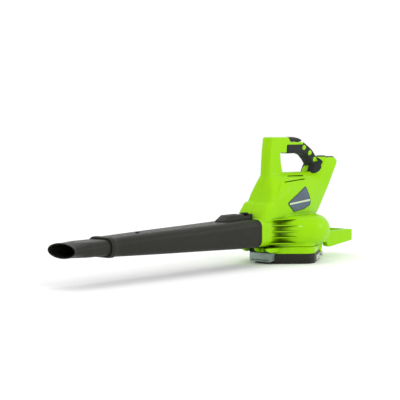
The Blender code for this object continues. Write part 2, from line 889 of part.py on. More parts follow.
def impeller():
    profile = [
        (12, 111),
        (84, 111),
        (84, 108.4),
        (34, 108.2),
        (20, 98),
        (12, 72),
        (12, 70),
        (4.3, 70),
        (4.3, 111),
    ]
    wheel = turned("wheel", profile, 30)
    outline = blade_outline()
    blade = plate("blade", [outline], FAN_LOW / MM, 109.5)
    for k in range(9):
        turn = Matrix.Rotation(2 * math.pi * k / 9, 4, "Z")
        add(wheel, solid(f"blade_{k}", blade.data.copy(), turn))
    part("impeller", wheel, material("fan_black", CHARCOAL, 0.5))


def electrics():
    black = material("control", CHARCOAL, 0.5)
    copper = material("copper", COPPER, 0.4, 1.0)
    board = bevel(box("board_solid", (-88, -19, 196), (-84, 19, 222)), 0.8 * MM)
    chip = box("board_chip", (-84.5, -14, 200), (-79, 14, 215))
    part("controller_board", add(board, chip), material("board", BOARD, 0.5))
    switch = bevel(box("switch_solid", (-42, -9, 306), (-18.4, 9, 322)), 1 * MM)
    add(switch, box("switch_plunger", (-20, -3, 310), (-14.6, 3, 314)))
    part("switch_module", switch, black)
    tray = [
        bay_point(BAY_BACK / MM - BAY_DEPTH / MM + 3, BAY_FLOOR / MM + 0.3),
        bay_point(BAY_BACK / MM - 3, BAY_FLOOR / MM + 0.3),
        bay_point(BAY_BACK / MM - 3, 213.0),
        bay_point(BAY_BACK / MM - BAY_DEPTH / MM + 3, 213.0),
    ]
    terminal = bevel(plate("terminal_solid", [tray], -26, 26, "Y"), 1 * MM)
    for k in (-1, 0, 1):
        blade = [bay_point(-12, 212), bay_point(-2, 212), bay_point(-2, 217.3), bay_point(-12, 217.3)]
        add(terminal, plate(f"terminal_blade_{k}", [blade], 14 * k - 1.2, 14 * k + 1.2, "Y"))
    part("terminal_block", terminal, black)
    power_route = [
        (88, 0, 183),
        (76, 0, 186),
        (66, 14, 200),
        (40, 22, 212),
        (0, 22, 212),
        (-40, 12, 222),
        (-72, 4, 240),
        (-76, 0, 262),
        (-72, 0, 284),
        (-58, 0, 300),
        (-56, 0, 312),
        (-48, 0, 314),
        (-42.6, 0, 314),
    ]
    motor_route = [
        (-78.6, 0, 207),
        (-74, 0, 207),
        (-62, 3, 206),
        (-46, 0, 204),
        (-34, 0, 199),
        (-27, 0, 194),
        (-26.5, 0, 190.4),
    ]
    wire("power_cable", power_route, 2.4, material("cable", RED, 0.5))
    wire("motor_cable", motor_route, 2.0, material("cable_black", GRIP_BLACK, 0.5))


# The battery


def battery():
    back = BAY_BACK / MM - 0.5
    front = BAY_BACK / MM - BAY_DEPTH / MM + 0.5
    floor = PACK_FLOOR / MM
    low_front, low_back = bay_point(front, floor), bay_point(back, floor)
    slope = math.tan(BAY_TILT)

    def at(across, z):
        return (across + z * math.sin(BAY_TILT)) / math.cos(BAY_TILT), z

    corners = [
        (*low_front, 3),
        (*low_back, 3),
        (*at(back, 272), 8),
        (194, 281.5, 8),
        (181, 289.6, 8),
        (at(front, 289.6)[0] + slope, 289.6, 2),
    ]
    half = BAY_HALF / MM - 0.5
    pack = plate("pack_solid", [round_corners(corners)], -half, half, "Y")
    bevel(pack, 2.5 * MM, 2, 50)
    cut(pack, box("pack_button_pocket", (156, -11.4, 286.1), (174.4, 11.4, 300)))
    part("battery_pack", pack, material("pack", GRIP_BLACK, 0.5))
    button = bevel(box("battery_button_solid", (156.4, -11, 287.4), (174, 11, 291.2)), 1 * MM)
    origin = Vector((165.2, 0, 287.4)) * MM
    part("battery_button", button, material("control", CHARCOAL, 0.5), origin)


# The ring, the door and their latch


BASE = [(-93, -33, 6), (-24, -102, 26), (0, -102, 14), (103, -43, 0)]


def base_outline(margin=0.0):
    """The plan of the inlet's ring and door, an octagon drawn out at the rear for the hinge."""
    corners = BASE + [(x, -y, radius) for x, y, radius in reversed(BASE)]
    moved = inset([Vector((x, y)) for x, y, _ in corners], margin)
    rounded = [(*point, max(radius - margin, 0)) for point, (_, _, radius) in zip(moved, corners)]
    return round_corners(rounded, 3)


def intake_ring():
    ring = plate("ring_solid", [base_outline()], DOOR_TOP / MM + 0.3, RING_TOP / MM)
    cut(ring, plate("ring_inside", [base_outline(3.0)], 10, 42.5))
    cut(ring, cylinder("ring_eye", EYE_RADIUS / MM, 30, 60, sides=32))
    ring = solid("ring_open", outward(baked(ring)))
    x, z = DOOR_HINGE.x / MM, DOOR_HINGE.z / MM
    lug = [
        (98, 45.2, 0),
        (98, 32, 2),
        (x - 5.2, 28, 2),
        (x - 5.2, z - 5.2, 5.1),
        (x + 5.2, z - 5.2, 5.1),
        (x + 5.2, 28, 3),
        (x + 10, 45.2, 0),
    ]
    for side in (-1, 1):
        low, high = sorted((side * 35.0, side * 40.9))
        add(ring, plate(f"hinge_lug_{side}", [round_corners(lug)], low, high, "Y"))
    cut(ring, cylinder("hinge_bore", 2.3, -50, 50, (x, 0, z), "Y", 16))
    catch = [(-88, 45.4, 0), (-116.5, 45.4, 3), (-116.5, 35.5, 3), (-110, 31.5, 3), (-88, 31.5, 0)]
    add(ring, plate("catch_block", [round_corners(catch)], -41, 41, "Y"))
    for side in (-1, 1):
        low, high = sorted((side * 19.0, side * 37.0))
        cut(ring, box(f"hook_pocket_{side}", (-130, low, 25), (-106.5, high, 43.2)))
    rib = [(-84, 45.1, 0), (-142, 45.1, 3), (-138, 39, 5), (-122, 32.4, 3), (-84, 32.4, 0)]
    middle_rib = [(-100, 44.8, 0), (-136, 44.8, 3), (-132, 40, 3), (-120, 33.2, 3), (-100, 33.2, 0)]
    add(ring, plate("front_rib_near", [round_corners(rib)], -46, -38.4, "Y"))
    add(ring, plate("front_rib_far", [round_corners(rib)], 38.4, 46, "Y"))
    add(ring, plate("front_rib_middle", [round_corners(middle_rib)], -5, 4, "Y"))
    turn = Matrix.Rotation(math.radians(225), 4, "Z")
    pad = box("ring_pad", (84, -47.5, 27.5), (90.4, -20.5, 45.4))
    pad.data.transform(turn)
    add(ring, pad)
    for height in (30.6, 35.0, 39.4):
        slot = box(f"ring_slot_{height}", (80, -18.5, height), (100, -8.5, height + 2.0))
        slot.data.transform(turn)
        cut(ring, slot)
    part("intake_ring", ring, material("green_shell", GREEN, 0.32))


def slot_ring(inner, outer, count, bar, offset=0.0, steps=3):
    """Arc-shaped slots between radial bars, all in one cutter."""
    made = []
    for k in range(count):
        middle = (inner + outer) / 2
        half = math.pi / count - bar / middle / 2
        centre = 2 * math.pi * k / count + offset
        arc = [centre - half + 2 * half * i / steps for i in range(steps + 1)]
        outline = [Vector((outer * math.cos(a), outer * math.sin(a))) for a in arc]
        outline += [Vector((inner * math.cos(a), inner * math.sin(a))) for a in reversed(arc)]
        made.append(outline)
    return made


def inlet_door():
    door = plate("door_floor", [base_outline(0.0)], 0, 4)
    add(door, plate("door_wall", [base_outline(0.0), base_outline(3.0)], 2, DOOR_TOP / MM))
    for inner, outer, count in ((26, 52, 8), (57, 82, 12)):
        for k, outline in enumerate(slot_ring(inner, outer, count, 4.0)):
            cut(door, plate(f"door_slot_{inner}_{k}", [outline], -5, 9))
    for side in (-1, 1):
        low, high = sorted((side * 28.0, side * 34.4))
        lug = [(-89, 9.8, 0), (-89, 20.2, 0), (-107.2, 20.2, 5.1), (-107.2, 9.8, 5.1)]
        add(door, plate(f"latch_lug_{side}", [round_corners(lug)], low, high, "Y"))
    cut(door, cylinder("latch_bore", 1.85, -50, 50, LATCH_PIVOT / MM, "Y", 16))
    part("inlet_door", door, material("charcoal", CHARCOAL, 0.45), DOOR_HINGE)

    silver = material("silver", SILVER, 0.3, 1.0)
    back = plate("bracket_back", [[(-44.4, 5), (44.4, 5), (44.4, 18), (-44.4, 18)]], 103.4, 105.2, "X")
    ear = [(103.6, 5.2, 0), (117, 5.5, 5), (119, 13, 5), (118, 21, 4), (103.6, 17.8, 0)]
    strap = [(26.2, -87.35), (27.1, -88.9), (105.0, -44.3), (103.6, -43.05)]
    for side in (-1, 1):
        low, high = sorted((side * 41.4, side * 43.3))
        add(back, plate(f"bracket_ear_{side}", [round_corners(ear)], low, high, "Y"))
        outline = [Vector((x, -side * y)) for x, y in strap]
        add(back, plate(f"bracket_strap_{side}", [outline], 4.2, 19.0))
    cut(back, cylinder("bracket_bore", 2.3, -50, 50, DOOR_HINGE / MM, "Y", 16))
    part("hinge_bracket", back, silver, DOOR_HINGE)
    pin = cylinder("hinge_pin_bar", 2.0, -45, 45, DOOR_HINGE / MM, "Y", 16)
    add(pin, cylinder("hinge_pin_head", 4.0, -46.6, -43.6, DOOR_HINGE / MM, "Y", 16))
    part("hinge_pin", pin, material("steel", STEEL, 0.35, 1.0), DOOR_HINGE)


def door_latch():
    face = [(-110.8, 30.5), (-112.6, 30.5), (-112.6, 6.4), (-111.6, 5.2), (-110.8, 6.0)]
    latch = plate("latch_face", [face], -37, 37, "Y")
    ear = [(-112.4, 7, 0), (-112.4, 30, 0), (-94.5, 30, 5), (-94.5, 8, 5)]
    hook = [(-112.5, 28), (-110.9, 28), (-110.9, 38), (-109.2, 41.0), (-110.6, 42.2), (-112.5, 39)]
    for side in (-1, 1):
        low, high = sorted((side * 34.9, side * 36.7))
        add(latch, plate(f"latch_ear_{side}", [round_corners(ear)], low, high, "Y"))
        low, high = sorted((side * 20.0, side * 36.0))
        add(latch, plate(f"latch_hook_{side}", [hook], low, high, "Y"))
    cut(latch, cylinder("latch_ear_bore", 1.85, -50, 50, LATCH_PIVOT / MM, "Y", 16))
    part("door_latch", latch, material("latch_grey", LATCH_GREY, 0.35, 0.6), LATCH_PIVOT)
    pin = cylinder("latch_pin_bar", 1.5, -38.5, 38.5, LATCH_PIVOT / MM, "Y", 16)
    part("latch_pin", pin, material("steel", STEEL, 0.35, 1.0), LATCH_PIVOT)


# The tube and the nozzle

TUBE = [  # x; half-width; half-height; corner radius
    (-163.3, 49.0, 37.5, 20),
    (-230, 49.0, 37.0, 20),
    (-370, 47.2, 32.7, 21),
    (-520, 45.0, 28.5, 21),
    (-690, 42.6, 22.7, 20),
]
NOZZLE = [
    (-575, 39.2, 19.2, 17.5),
    (-707, 39.2, 19.2, 17.5),
    (-735, 40.2, 18.4, 17),
    (-780, 43.2, 17.9, 17.4),
]
MOUTH = [(-810, 45.9, 17.7), (-828, 47.2, 17.6)]  # x; half-width; half-height


def tube_ring(x, half_width, half_height, radius, grow=0.0, middle=TUBE_MID / MM):
    return rectangle_ring(
        x,
        -half_width - grow,
        half_width + grow,
        middle - half_height - grow,
        middle + half_height + grow,
        radius + grow,
        3,
    )


def oval_ring(x, half_width, half_height, grow=0.0, steps=3):
    """A ring like tube_ring's, with as many points, on an ellipse."""
    points = []
    for quarter in (180, 270, 0, 90):
        for k in range(steps + 1):
            angle = math.radians(quarter + 5 + 80 * k / steps)
            y = (half_width + grow) * math.cos(angle)
            z = (half_height + grow) * math.sin(angle)
            points.append(Vector((x, y, TUBE_MID / MM + z)) * MM)
    return points


def upper_tube():
    rows = [*TUBE, (-692, 43.8, 23.9, 21), (-706, 43.6, 23.7, 21), (-708, 42.6, 22.7, 20)]
    rings = [tube_ring(*row) for row in rows]
    bore = [(-708, 42.0, 22.0, 19.5), (-708, 39.7, 19.7, 17.9), (-570, 39.7, 19.7, 17.9)]
    rings += [tube_ring(*row) for row in bore]
    rings += [tube_ring(*row, -TUBE_WALL / MM) for row in reversed(TUBE[:4])]
    tube = loft("upper_tube_solid", rings, "joined")
    ramp = [
        (-164, 123.9, 0),
        (-164, 140.0, 2),
        (-178, 140.0, 2),
        (-178, 135.5, 1),
        (-199, 135.5, 1),
        (-201, 140.0, 2),
        (-257, 139.5, 12),
        (-281, 125.5, 2),
        (-281, 121.6, 0),
    ]
    add(tube, plate("ramp", [round_corners(ramp, 2)], -17, 17, "Y"))
    cut(tube, box("release_slot", (-179.5, -6.3, 130.5), (-164.9, 6.3, 150)))
    cut(tube, cylinder("release_bore", 1.4, -12, 12, RELEASE_PIVOT / MM, "Y", 12))
    cut(tube, cylinder("lock_hole", 6.0, 100, 130, (LOCK_BUTTON.x / MM, 0, 0), sides=20))
    part("upper_tube", tube, material("charcoal", CHARCOAL, 0.45))


def tube_release():
    outline = [
        (-168.5, 134.3, 2),
        (-168.0, 140.4, 3),
        (-172, 143.4, 3),
        (-191, 142.6, 1),
        (-191.5, 140.8, 1),
        (-181.5, 140.5, 0),
        (-177.3, 140.3, 0),
        (-174.5, 134.3, 2),
    ]
    lever = plate("release_solid", [round_corners(outline, 2)], -5.9, 5.9, "Y")
    wing = [(-184, 140.6), (-191, 140.8), (-191.5, 142.6), (-184, 142.9)]
    add(lever, plate("release_wing", [wing], -9, 9, "Y"))
    cut(lever, cylinder("release_pin_bore", 1.5, -12, 12, RELEASE_PIVOT / MM, "Y", 12))
    part("tube_release", lever, material("control", CHARCOAL, 0.5), RELEASE_PIVOT)
    pin = cylinder("release_pin_bar", 1.1, -11.5, 11.5, RELEASE_PIVOT / MM, "Y", 12)
    part("release_pin", pin, material("steel", STEEL, 0.35, 1.0), RELEASE_PIVOT)


def nozzle():
    rings = [tube_ring(*row) for row in NOZZLE]
    rings += [oval_ring(*row) for row in MOUTH]
    rings += [oval_ring(*row, -2.2) for row in reversed(MOUTH)]
    rings += [tube_ring(*row, -2.2) for row in reversed(NOZZLE)]
    tube = loft("nozzle_solid", rings, "joined")
    part("nozzle_tube", tube, material("charcoal", CHARCOAL, 0.45))
    profile = [(0, 117.2), (4.4, 117.2), (5.6, 116.0), (5.6, 109.5), (0, 109.5)]
    button = turned("lock_button_solid", profile, 20)
    button.data.transform(Matrix.Translation((LOCK_BUTTON.x, 0, 0)))
    part("nozzle_lock_button", button, material("control", CHARCOAL, 0.5), LOCK_BUTTON)


def rear_handle():
    outer = round_corners([(100, -50, 0), (264, -50, 18), (264, 50, 18), (100, 50, 0)], 4)
    inner = round_corners([(90, -33.5, 0), (246, -33.5, 12), (246, 33.5, 12), (90, 33.5, 0)], 4)
    hoop = plate("hoop", [outer], 20, 76)
    profile = [
        (104, 47, 0),
        (128, 46, 3),
        (132, 33.5, 4),
        (142, 31, 6),
        (264.5, 45, 5),
        (264.5, 74.5, 3),
        (250, 76, 6),
        (104, 76, 0),
    ]
    keep(hoop, plate("hoop_side", [round_corners(profile)], -60, 60, "Y"))
    cut(hoop, plate("hoop_hole", [inner], 0, 100))
    cut(hoop, scroll("hoop_seat", GAP / MM))
    handle = bevel(solid("hoop_cut", outward(baked(hoop))), 1.5 * MM, 1, 50)
    part("rear_handle", handle, material("green_shell", GREEN, 0.32))


def main():
    housing()
    grips()
    trigger()
    cruise_lever()
    badges()
    motor()
    impeller()
    electrics()
    battery()
    intake_ring()
    inlet_door()
    door_latch()
    upper_tube()
    tube_release()
    nozzle()
    rear_handle()


main()
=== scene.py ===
"""The looks of the garden blower: detailed shells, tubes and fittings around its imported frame."""

import json
import math

import bmesh
import bpy
from mathutils import Matrix, Vector


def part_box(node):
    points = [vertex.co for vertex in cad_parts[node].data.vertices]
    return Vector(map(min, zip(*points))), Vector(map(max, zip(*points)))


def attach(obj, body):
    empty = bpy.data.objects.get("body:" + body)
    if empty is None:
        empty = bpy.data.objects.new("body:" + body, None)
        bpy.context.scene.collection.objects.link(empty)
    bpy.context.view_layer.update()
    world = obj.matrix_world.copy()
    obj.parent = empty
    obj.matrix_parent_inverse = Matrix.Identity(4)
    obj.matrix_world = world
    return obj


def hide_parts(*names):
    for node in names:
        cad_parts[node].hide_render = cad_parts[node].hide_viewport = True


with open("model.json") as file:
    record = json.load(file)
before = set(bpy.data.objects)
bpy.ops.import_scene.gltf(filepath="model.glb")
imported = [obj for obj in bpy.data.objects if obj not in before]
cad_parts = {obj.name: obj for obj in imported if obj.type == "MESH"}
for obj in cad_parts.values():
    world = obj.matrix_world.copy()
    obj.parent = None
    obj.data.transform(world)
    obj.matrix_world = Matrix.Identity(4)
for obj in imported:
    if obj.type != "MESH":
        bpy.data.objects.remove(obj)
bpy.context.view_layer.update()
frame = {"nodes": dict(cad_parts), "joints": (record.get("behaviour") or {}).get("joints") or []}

NODES = frame["nodes"]
MM = 0.001
WALL = 3.0
GAP = 0.3
SEAM_GAP = 0.3

# Heights in millimetres, worked out from the frame's boxes.
DOOR_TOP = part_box("inlet_door")[1].z / MM
RING_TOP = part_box("intake_ring")[1].z / MM
SCROLL_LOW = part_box("housing_left")[0].z / MM
SCROLL_HIGH = SCROLL_LOW + 84.0
SCROLL_MID = (SCROLL_LOW + SCROLL_HIGH) / 2
ROOF_TOP = SCROLL_HIGH + 1.0
SKIRT_TOP = SCROLL_LOW + 10.3

# The tube's middle height, the scroll, the bay and the column, made to match the frame.
TUBE_MID = 87.5
SCROLL_RADIUS = 124.0
SCROLL_START_RADIUS = 102.0
SCROLL_BULGE = 40.0
CUTOFF_ANGLE = 205.0
CUTOFF_GROWTH = 95.0
FIN_ANGLE = 239.0
EYE_RADIUS = 62.0
BAY_TILT = math.radians(32.5)
BAY_BACK = 16.9
BAY_DEPTH = 46.4
BAY_HALF = 33.0
BAY_PLAY = 0.5
BAY_FLOOR = 206.0
PACK_FLOOR = 217.8
COLUMN_HALF = 16.5
CORE_HALF = 15.3

# How far the rubber stands out of the grip's core, and the radius of a pin's hole.
GRIP_PROUD = 2.0
PIN_HOLE = 1.85


def joint_place(name):
    """A joint's place in millimetres."""
    found = next(joint for joint in frame["joints"] if joint["name"] == name)
    return [value / MM for value in found["pos_m"]]


DOOR_HINGE = joint_place("door_swing")
LATCH_PIVOT = joint_place("latch_swing")
TRIGGER_PIVOT = joint_place("trigger_squeeze")
LEVER_PIVOT = joint_place("cruise_lift")
RELEASE_PIVOT = joint_place("tube_release_press")
LOCK_BUTTON_X = (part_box("nozzle_lock_button")[0].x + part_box("nozzle_lock_button")[1].x) / 2 / MM


# Meshes


def as_mesh(name, work):
    mesh = bpy.data.meshes.new(name)
    work.to_mesh(mesh)
    work.free()
    return mesh


def finished(name, work):
    """The mesh without double points, its faces looking outwards."""
    bmesh.ops.remove_doubles(work, verts=work.verts, dist=1e-7)
    bmesh.ops.recalc_face_normals(work, faces=work.faces)
    return as_mesh(name, work)


def placed(name, data):
    """A new object in the scene."""
    obj = bpy.data.objects.new(name, data)
    bpy.context.scene.collection.objects.link(obj)
    return obj


def evaluated(obj):
    bpy.context.view_layer.update()
    graph = bpy.context.evaluated_depsgraph_get()
    return bpy.data.meshes.new_from_object(obj.evaluated_get(graph))


def applied(mesh, *settings):
    """The mesh with modifiers applied, each given as (kind, {setting: value})."""
    obj = placed("work", mesh)
    for kind, values in settings:
        modifier = obj.modifiers.new(kind.lower(), kind)
        for name, value in values.items():
            setattr(modifier, name, value)
    made = evaluated(obj)
    bpy.data.objects.remove(obj)
    return made


def boolean(mesh, operation, tools, solver="MANIFOLD"):
    for tool_mesh in tools:
        tool = placed("tool", tool_mesh)
        settings = {"operation": operation, "object": tool, "solver": solver}
        mesh = applied(mesh, ("BOOLEAN", settings))
        bpy.data.objects.remove(tool)
    return mesh


def add(mesh, *tools):
    return boolean(mesh, "UNION", tools)


def cut(mesh, *tools):
    return boolean(mesh, "DIFFERENCE", tools)


def keep(mesh, tool):
    return boolean(mesh, "INTERSECT", [tool])


def joined(*meshes):
    """Several meshes as the loose parts of one."""
    work = bmesh.new()
    for mesh in meshes:
        work.from_mesh(mesh)
    return as_mesh("joined", work)


def moulded_shape(meshes, voxel, rounds):
    """Overlapping solids made one, with their edges and inner corners rounded as in a moulding."""
    return applied(
        joined(*meshes),
        ("REMESH", {"mode": "VOXEL", "voxel_size": voxel * MM, "adaptivity": 0.0}),
        ("SMOOTH", {"factor": 0.5, "iterations": rounds}),
    )


def moved(mesh, matrix):
    """A copy of the mesh, moved."""
    made = mesh.copy()
    made.transform(matrix)
    return made


def box(low, high):
    work = bmesh.new()
    bmesh.ops.create_cube(work, size=1.0)
    size = [(b - a) * MM for a, b in zip(low, high)]
    middle = Vector([(a + b) / 2 * MM for a, b in zip(low, high)])
    bmesh.ops.scale(work, vec=size, verts=work.verts)
    bmesh.ops.translate(work, vec=middle, verts=work.verts)
    return finished("box", work)


# How a solid of revolution and a flat outline turn from Z to another axis.
TURN = {
    "X": Matrix.Rotation(math.radians(90), 4, "Y"),
    "Y": Matrix.Rotation(math.radians(-90), 4, "X"),
    "Z": Matrix.Identity(4),
}
FACING = {
    "X": Matrix(((0, 0, 1, 0), (1, 0, 0, 0), (0, 1, 0, 0), (0, 0, 0, 1))),
    "Y": Matrix.Rotation(math.radians(90), 4, "X"),
    "Z": Matrix.Identity(4),
}


def place(point):
    return Matrix.Translation(Vector(point) * MM)


def turned(profile, centre=(0, 0, 0), axis="Z", steps=64):
    """A solid of revolution from a closed profile of (radius, height), both in mm."""
    work = bmesh.new()
    rings = []
    for radius, height in profile:
        if radius == 0:
            rings.append([work.verts.new((0, 0, height * MM))])
            continue
        angles = [2 * math.pi * k / steps for k in range(steps)]
        ring = [(radius * math.cos(a) * MM, radius * math.sin(a) * MM, height * MM) for a in angles]
        rings.append([work.verts.new(point) for point in ring])
    pairs = list(zip(rings, rings[1:]))
    if profile[0][0] > 0:
        pairs.append((rings[-1], rings[0]))
    for first, second in pairs:
        for k in range(steps):
            j = (k + 1) % steps
            corners = []
            for ring, i in ((first, k), (first, j), (second, j), (second, k)):
                vert = ring[i % len(ring)]
                if vert not in corners:
                    corners.append(vert)
            if len(corners) > 2:
                work.faces.new(corners)
    mesh = finished("turned", work)
    mesh.transform(place(centre) @ TURN[axis])
    return mesh


def rod(radius, low, high, centre=(0, 0, 0), axis="Z", edge=0.0, steps=40):
    """A round bar whose ends have a small rounded edge."""
    flat = radius - edge
    profile = [(0, low), (flat, low)]
    if edge:
        bend = [(edge * math.sin(turn), edge * math.cos(turn)) for turn in (math.pi / 6, math.pi / 3)]
        profile += [(flat + out, low + edge - up) for out, up in [*bend, (edge, 0)]]
        profile += [(flat + out, high - edge + up) for up, out in [(0, edge), *bend]]
    profile += [(flat, high), (0, high)]
    return turned(profile, centre, axis, steps)


def cross_rod(radius, half, pivot, edge=0.0, steps=40):
    """A rod across the middle plane through a pivot (x, y, z), whose y is left out."""
    return rod(radius, -half, half, (pivot[0], 0, pivot[2]), "Y", edge, steps)


def loft(rings, ends="caps"):
    """A skin over rings of points; both ends are capped, or joined to each other."""
    work = bmesh.new()
    rows = [[work.verts.new(point) for point in ring] for ring in rings]
    count = len(rows[0])
    pairs = list(zip(rows, rows[1:]))
    if ends == "joined":
        pairs.append((rows[-1], rows[0]))
    for lower, upper in pairs:
        for i in range(count):
            j = (i + 1) % count
            work.faces.new((lower[i], lower[j], upper[j], upper[i]))
    if ends == "caps":
        work.faces.new(rows[0][::-1])
        work.faces.new(rows[-1])
    return finished("loft", work)


def round_corners(corners, steps=8):
    """A closed outline in mm whose corners (x, y, radius) become arcs of steps + 1 points."""
    points = []
    count = len(corners)
    for i, (x, y, radius) in enumerate(corners):
        here = Vector((x, y))
        back = Vector(corners[i - 1][:2]) - here
        ahead = Vector(corners[(i + 1) % count][:2]) - here
        if radius == 0:
            points.append(here)
            continue
        half = back.angle(ahead) / 2
        reach = min(radius / math.tan(half), 0.48 * back.length, 0.48 * ahead.length)
        radius = reach * math.tan(half)
        centre = here + (back.normalized() + ahead.normalized()).normalized() * radius / math.sin(half)
        start = here + back.normalized() * reach - centre
        side = 1 if back.cross(ahead) < 0 else -1
        sweep = side * (math.pi - 2 * half)
        for k in range(steps + 1):
            points.append(centre + Matrix.Rotation(sweep * k / steps, 2) @ start)
    return points


def plate(outlines, low, high, normal="Z", edge=0.0):
    """A flat outline, with any holes after it, made thick from low to high with rounded edges, in mm.

    With normal Y the outline is (x, z), and with normal X it is (y, z).
    """
    curve = bpy.data.curves.new("plate", "CURVE")
    curve.dimensions = "2D"
    curve.fill_mode = "BOTH"
    curve.extrude = ((high - low) / 2 - edge) * MM
    if edge:
        curve.bevel_depth = edge * MM
        curve.bevel_resolution = 2
        curve.offset = -edge * MM
    for outline in outlines:
        spline = curve.splines.new("POLY")
        spline.points.add(len(outline) - 1)
        spline.use_cyclic_u = True
        for point, (x, y) in zip(spline.points, outline):
            point.co = (x * MM, y * MM, 0.0, 1.0)
    obj = placed("plate", curve)
    middle = [(low + high) / 2 * MM if axis == normal else 0 for axis in "XYZ"]
    mesh = evaluated(obj)
    bpy.data.objects.remove(obj)
    work = bmesh.new()
    work.from_mesh(mesh)
    bmesh.ops.triangulate(work, faces=[face for face in work.faces if len(face.verts) > 4])
    mesh = finished("plate", work)
    mesh.transform(Matrix.Translation(middle) @ FACING[normal])
    return mesh


def mirrored(corners):
    """The corners (x, y, radius), and then their mirror images across y = 0."""
    return corners + [(x, -y, radius) for x, y, radius in reversed(corners)]


def rectangle(low_x, low_y, high_x, high_y, radius):
    """The corners of a rectangle that has one radius all round."""
    places = ((low_x, low_y), (high_x, low_y), (high_x, high_y), (low_x, high_y))
    return [(x, y, radius) for x, y in places]


def slab(corners, half, edge=0.0, steps=8):
    """A plate across the middle plane from the corners (x, z, radius) of its outline."""
    return plate([round_corners(corners, steps)], -half, half, "Y", edge)


def side_plate(outline, side, near, far, edge=0.0):
    """A plate on the left (-1) or right (1) of the middle plane, from near to far."""
    return plate([outline], *sorted((side * near, side * far)), "Y", edge)


def both_sides(outline, near, far, edge=0.5):
    """A plate and its mirror image across the middle plane."""
    return [side_plate(outline, side, near, far, edge) for side in (-1, 1)]


def inset(outline, distance):
    """The outline in mm moved inwards, each corner along its bisector; it runs anticlockwise."""
    moved_points = []
    count = len(outline)
    for i, here in enumerate(outline):
        back = (here - outline[i - 1]).normalized()
        ahead = (outline[(i + 1) % count] - here).normalized()
        normal = Vector((-back.y - ahead.y, back.x + ahead.x)).normalized()
        across = normal.dot(Vector((-ahead.y, ahead.x)))
        moved_points.append(here + normal * distance / max(across, 0.4))
    return moved_points


def curve_value(a, b, c, d, t):
    """A place between b and c on the Catmull-Rom curve through four numbers."""
    square, cube = 2 * a - 5 * b + 4 * c - d, 3 * b - a - 3 * c + d
    return 0.5 * (2 * b + (c - a) * t + square * t * t + cube * t**3)


def eased_rows(rows, steps):
    """The rows of numbers with smooth rows between them."""
    ends = [rows[0], *rows, rows[-1]]
    made = []
    for four in zip(ends, ends[1:], ends[2:], ends[3:]):
        for k in range(steps):
            made.append([curve_value(*values, k / steps) for values in zip(*four)])
    return [*made, list(rows[-1])]


# Materials


def shader_material(name, roughness, metallic=0.0, coat=0.0):
    mat = bpy.data.materials.new(name)
    mat.use_nodes = True
    nodes = mat.node_tree.nodes
    shader = nodes["Principled BSDF"]
    values = {
        "Roughness": roughness,
        "Metallic": metallic,
        "Coat Weight": coat,
        "Coat Roughness": 0.12,
        "Specular IOR Level": 0.04 if coat > 0 else 0.2,
    }
    for field, value in values.items():
        shader.inputs[field].default_value = value
    return mat, nodes, mat.node_tree.links, shader


def texture(nodes, links, kind, scale, stretch=(1, 1, 1)):
    """A texture node in the object's own coordinates."""
    coords = nodes.new("ShaderNodeTexCoord")
    mapping = nodes.new("ShaderNodeMapping")
    mapping.inputs["Scale"].default_value = stretch
    links.new(coords.outputs["Object"], mapping.inputs["Vector"])
    made = nodes.new(kind)
    made.inputs["Scale"].default_value = scale
    links.new(mapping.outputs["Vector"], made.inputs["Vector"])
    return made


def noise(nodes, links, scale, detail=3.0, stretch=(1, 1, 1)):
    made = texture(nodes, links, "ShaderNodeTexNoise", scale, stretch)
    made.inputs["Detail"].default_value = detail
    return made.outputs["Fac"]


def spread(nodes, links, source, low, high, start=0.3, end=0.7):
    """A number that follows the source between low and high."""
    made = nodes.new("ShaderNodeMapRange")
    made.inputs["From Min"].default_value = start
    made.inputs["From Max"].default_value = end
    made.inputs["To Min"].default_value = low
    made.inputs["To Max"].default_value = high
    links.new(source, made.inputs["Value"])
    return made.outputs["Result"]


def mixed(nodes, links, factor, first, second):
    """A colour between two, each a colour or another node's output."""
    made = nodes.new("ShaderNodeMix")
    made.data_type = "RGBA"
    links.new(factor, made.inputs[0])
    for value, socket in ((first, made.inputs[6]), (second, made.inputs[7])):
        if isinstance(value, tuple):
            socket.default_value = (*value, 1.0)
        else:
            links.new(value, socket)
    return made.outputs[2]


def tinted(colour, share):
    return tuple(min(1.0, channel * share) for channel in colour)


def bump(nodes, links, shader, height, strength, distance):
    made = nodes.new("ShaderNodeBump")
    made.inputs["Strength"].default_value = strength
    made.inputs["Distance"].default_value = distance
    links.new(height, made.inputs["Height"])
    links.new(made.outputs["Normal"], shader.inputs["Normal"])


def plastic(name, colour, roughness, grain, depth, edge_wear_and_highlight=1.25, coat=0.0, cloud=0.07, shade=1.0):
    """Moulded plastic: a fine eroded grain, slow clouds of tone and paler edges that stand for both
    wear and a painted highlight.

    A shade below 1 paints shade into tight corners and gaps, darkening them to that share of the
    colour.
    """
    mat, nodes, links, shader = shader_material(name, roughness, coat=coat)
    tone = spread(nodes, links, noise(nodes, links, 14.0, 4.0), 0.0, 1.0)
    base = mixed(nodes, links, tone, tinted(colour, 1 - cloud), tinted(colour, 1 + cloud))
    geometry = nodes.new("ShaderNodeNewGeometry")
    # Paler convex edges from Pointiness: partly wear, partly a painted highlight along ridges and
    # creases.
    edge = spread(nodes, links, geometry.outputs["Pointiness"], 0.0, 0.55, 0.515, 0.60)
    base = mixed(nodes, links, edge, base, tinted(colour, edge_wear_and_highlight))
    # Painted shade: ambient occlusion darkens tight corners and gaps towards the shade share of the
    # colour.
    if shade < 1.0:
        painted_shade_ao = nodes.new("ShaderNodeAmbientOcclusion")
        painted_shade_ao.samples = 8
        painted_shade_ao.inputs["Distance"].default_value = 0.03
        unshaded_share = spread(nodes, links, painted_shade_ao.outputs["AO"], 0.0, 1.0, 0.30, 0.75)
        base = mixed(nodes, links, unshaded_share, tinted(colour, shade), base)
    links.new(base, shader.inputs["Base Color"])
    scuffs = noise(nodes, links, 90.0, 6.0)
    rough = spread(nodes, links, scuffs, roughness - 0.05, roughness + 0.08)
    links.new(rough, shader.inputs["Roughness"])
    bump(nodes, links, shader, noise(nodes, links, grain, 2.0), depth, 0.0004)
    return mat


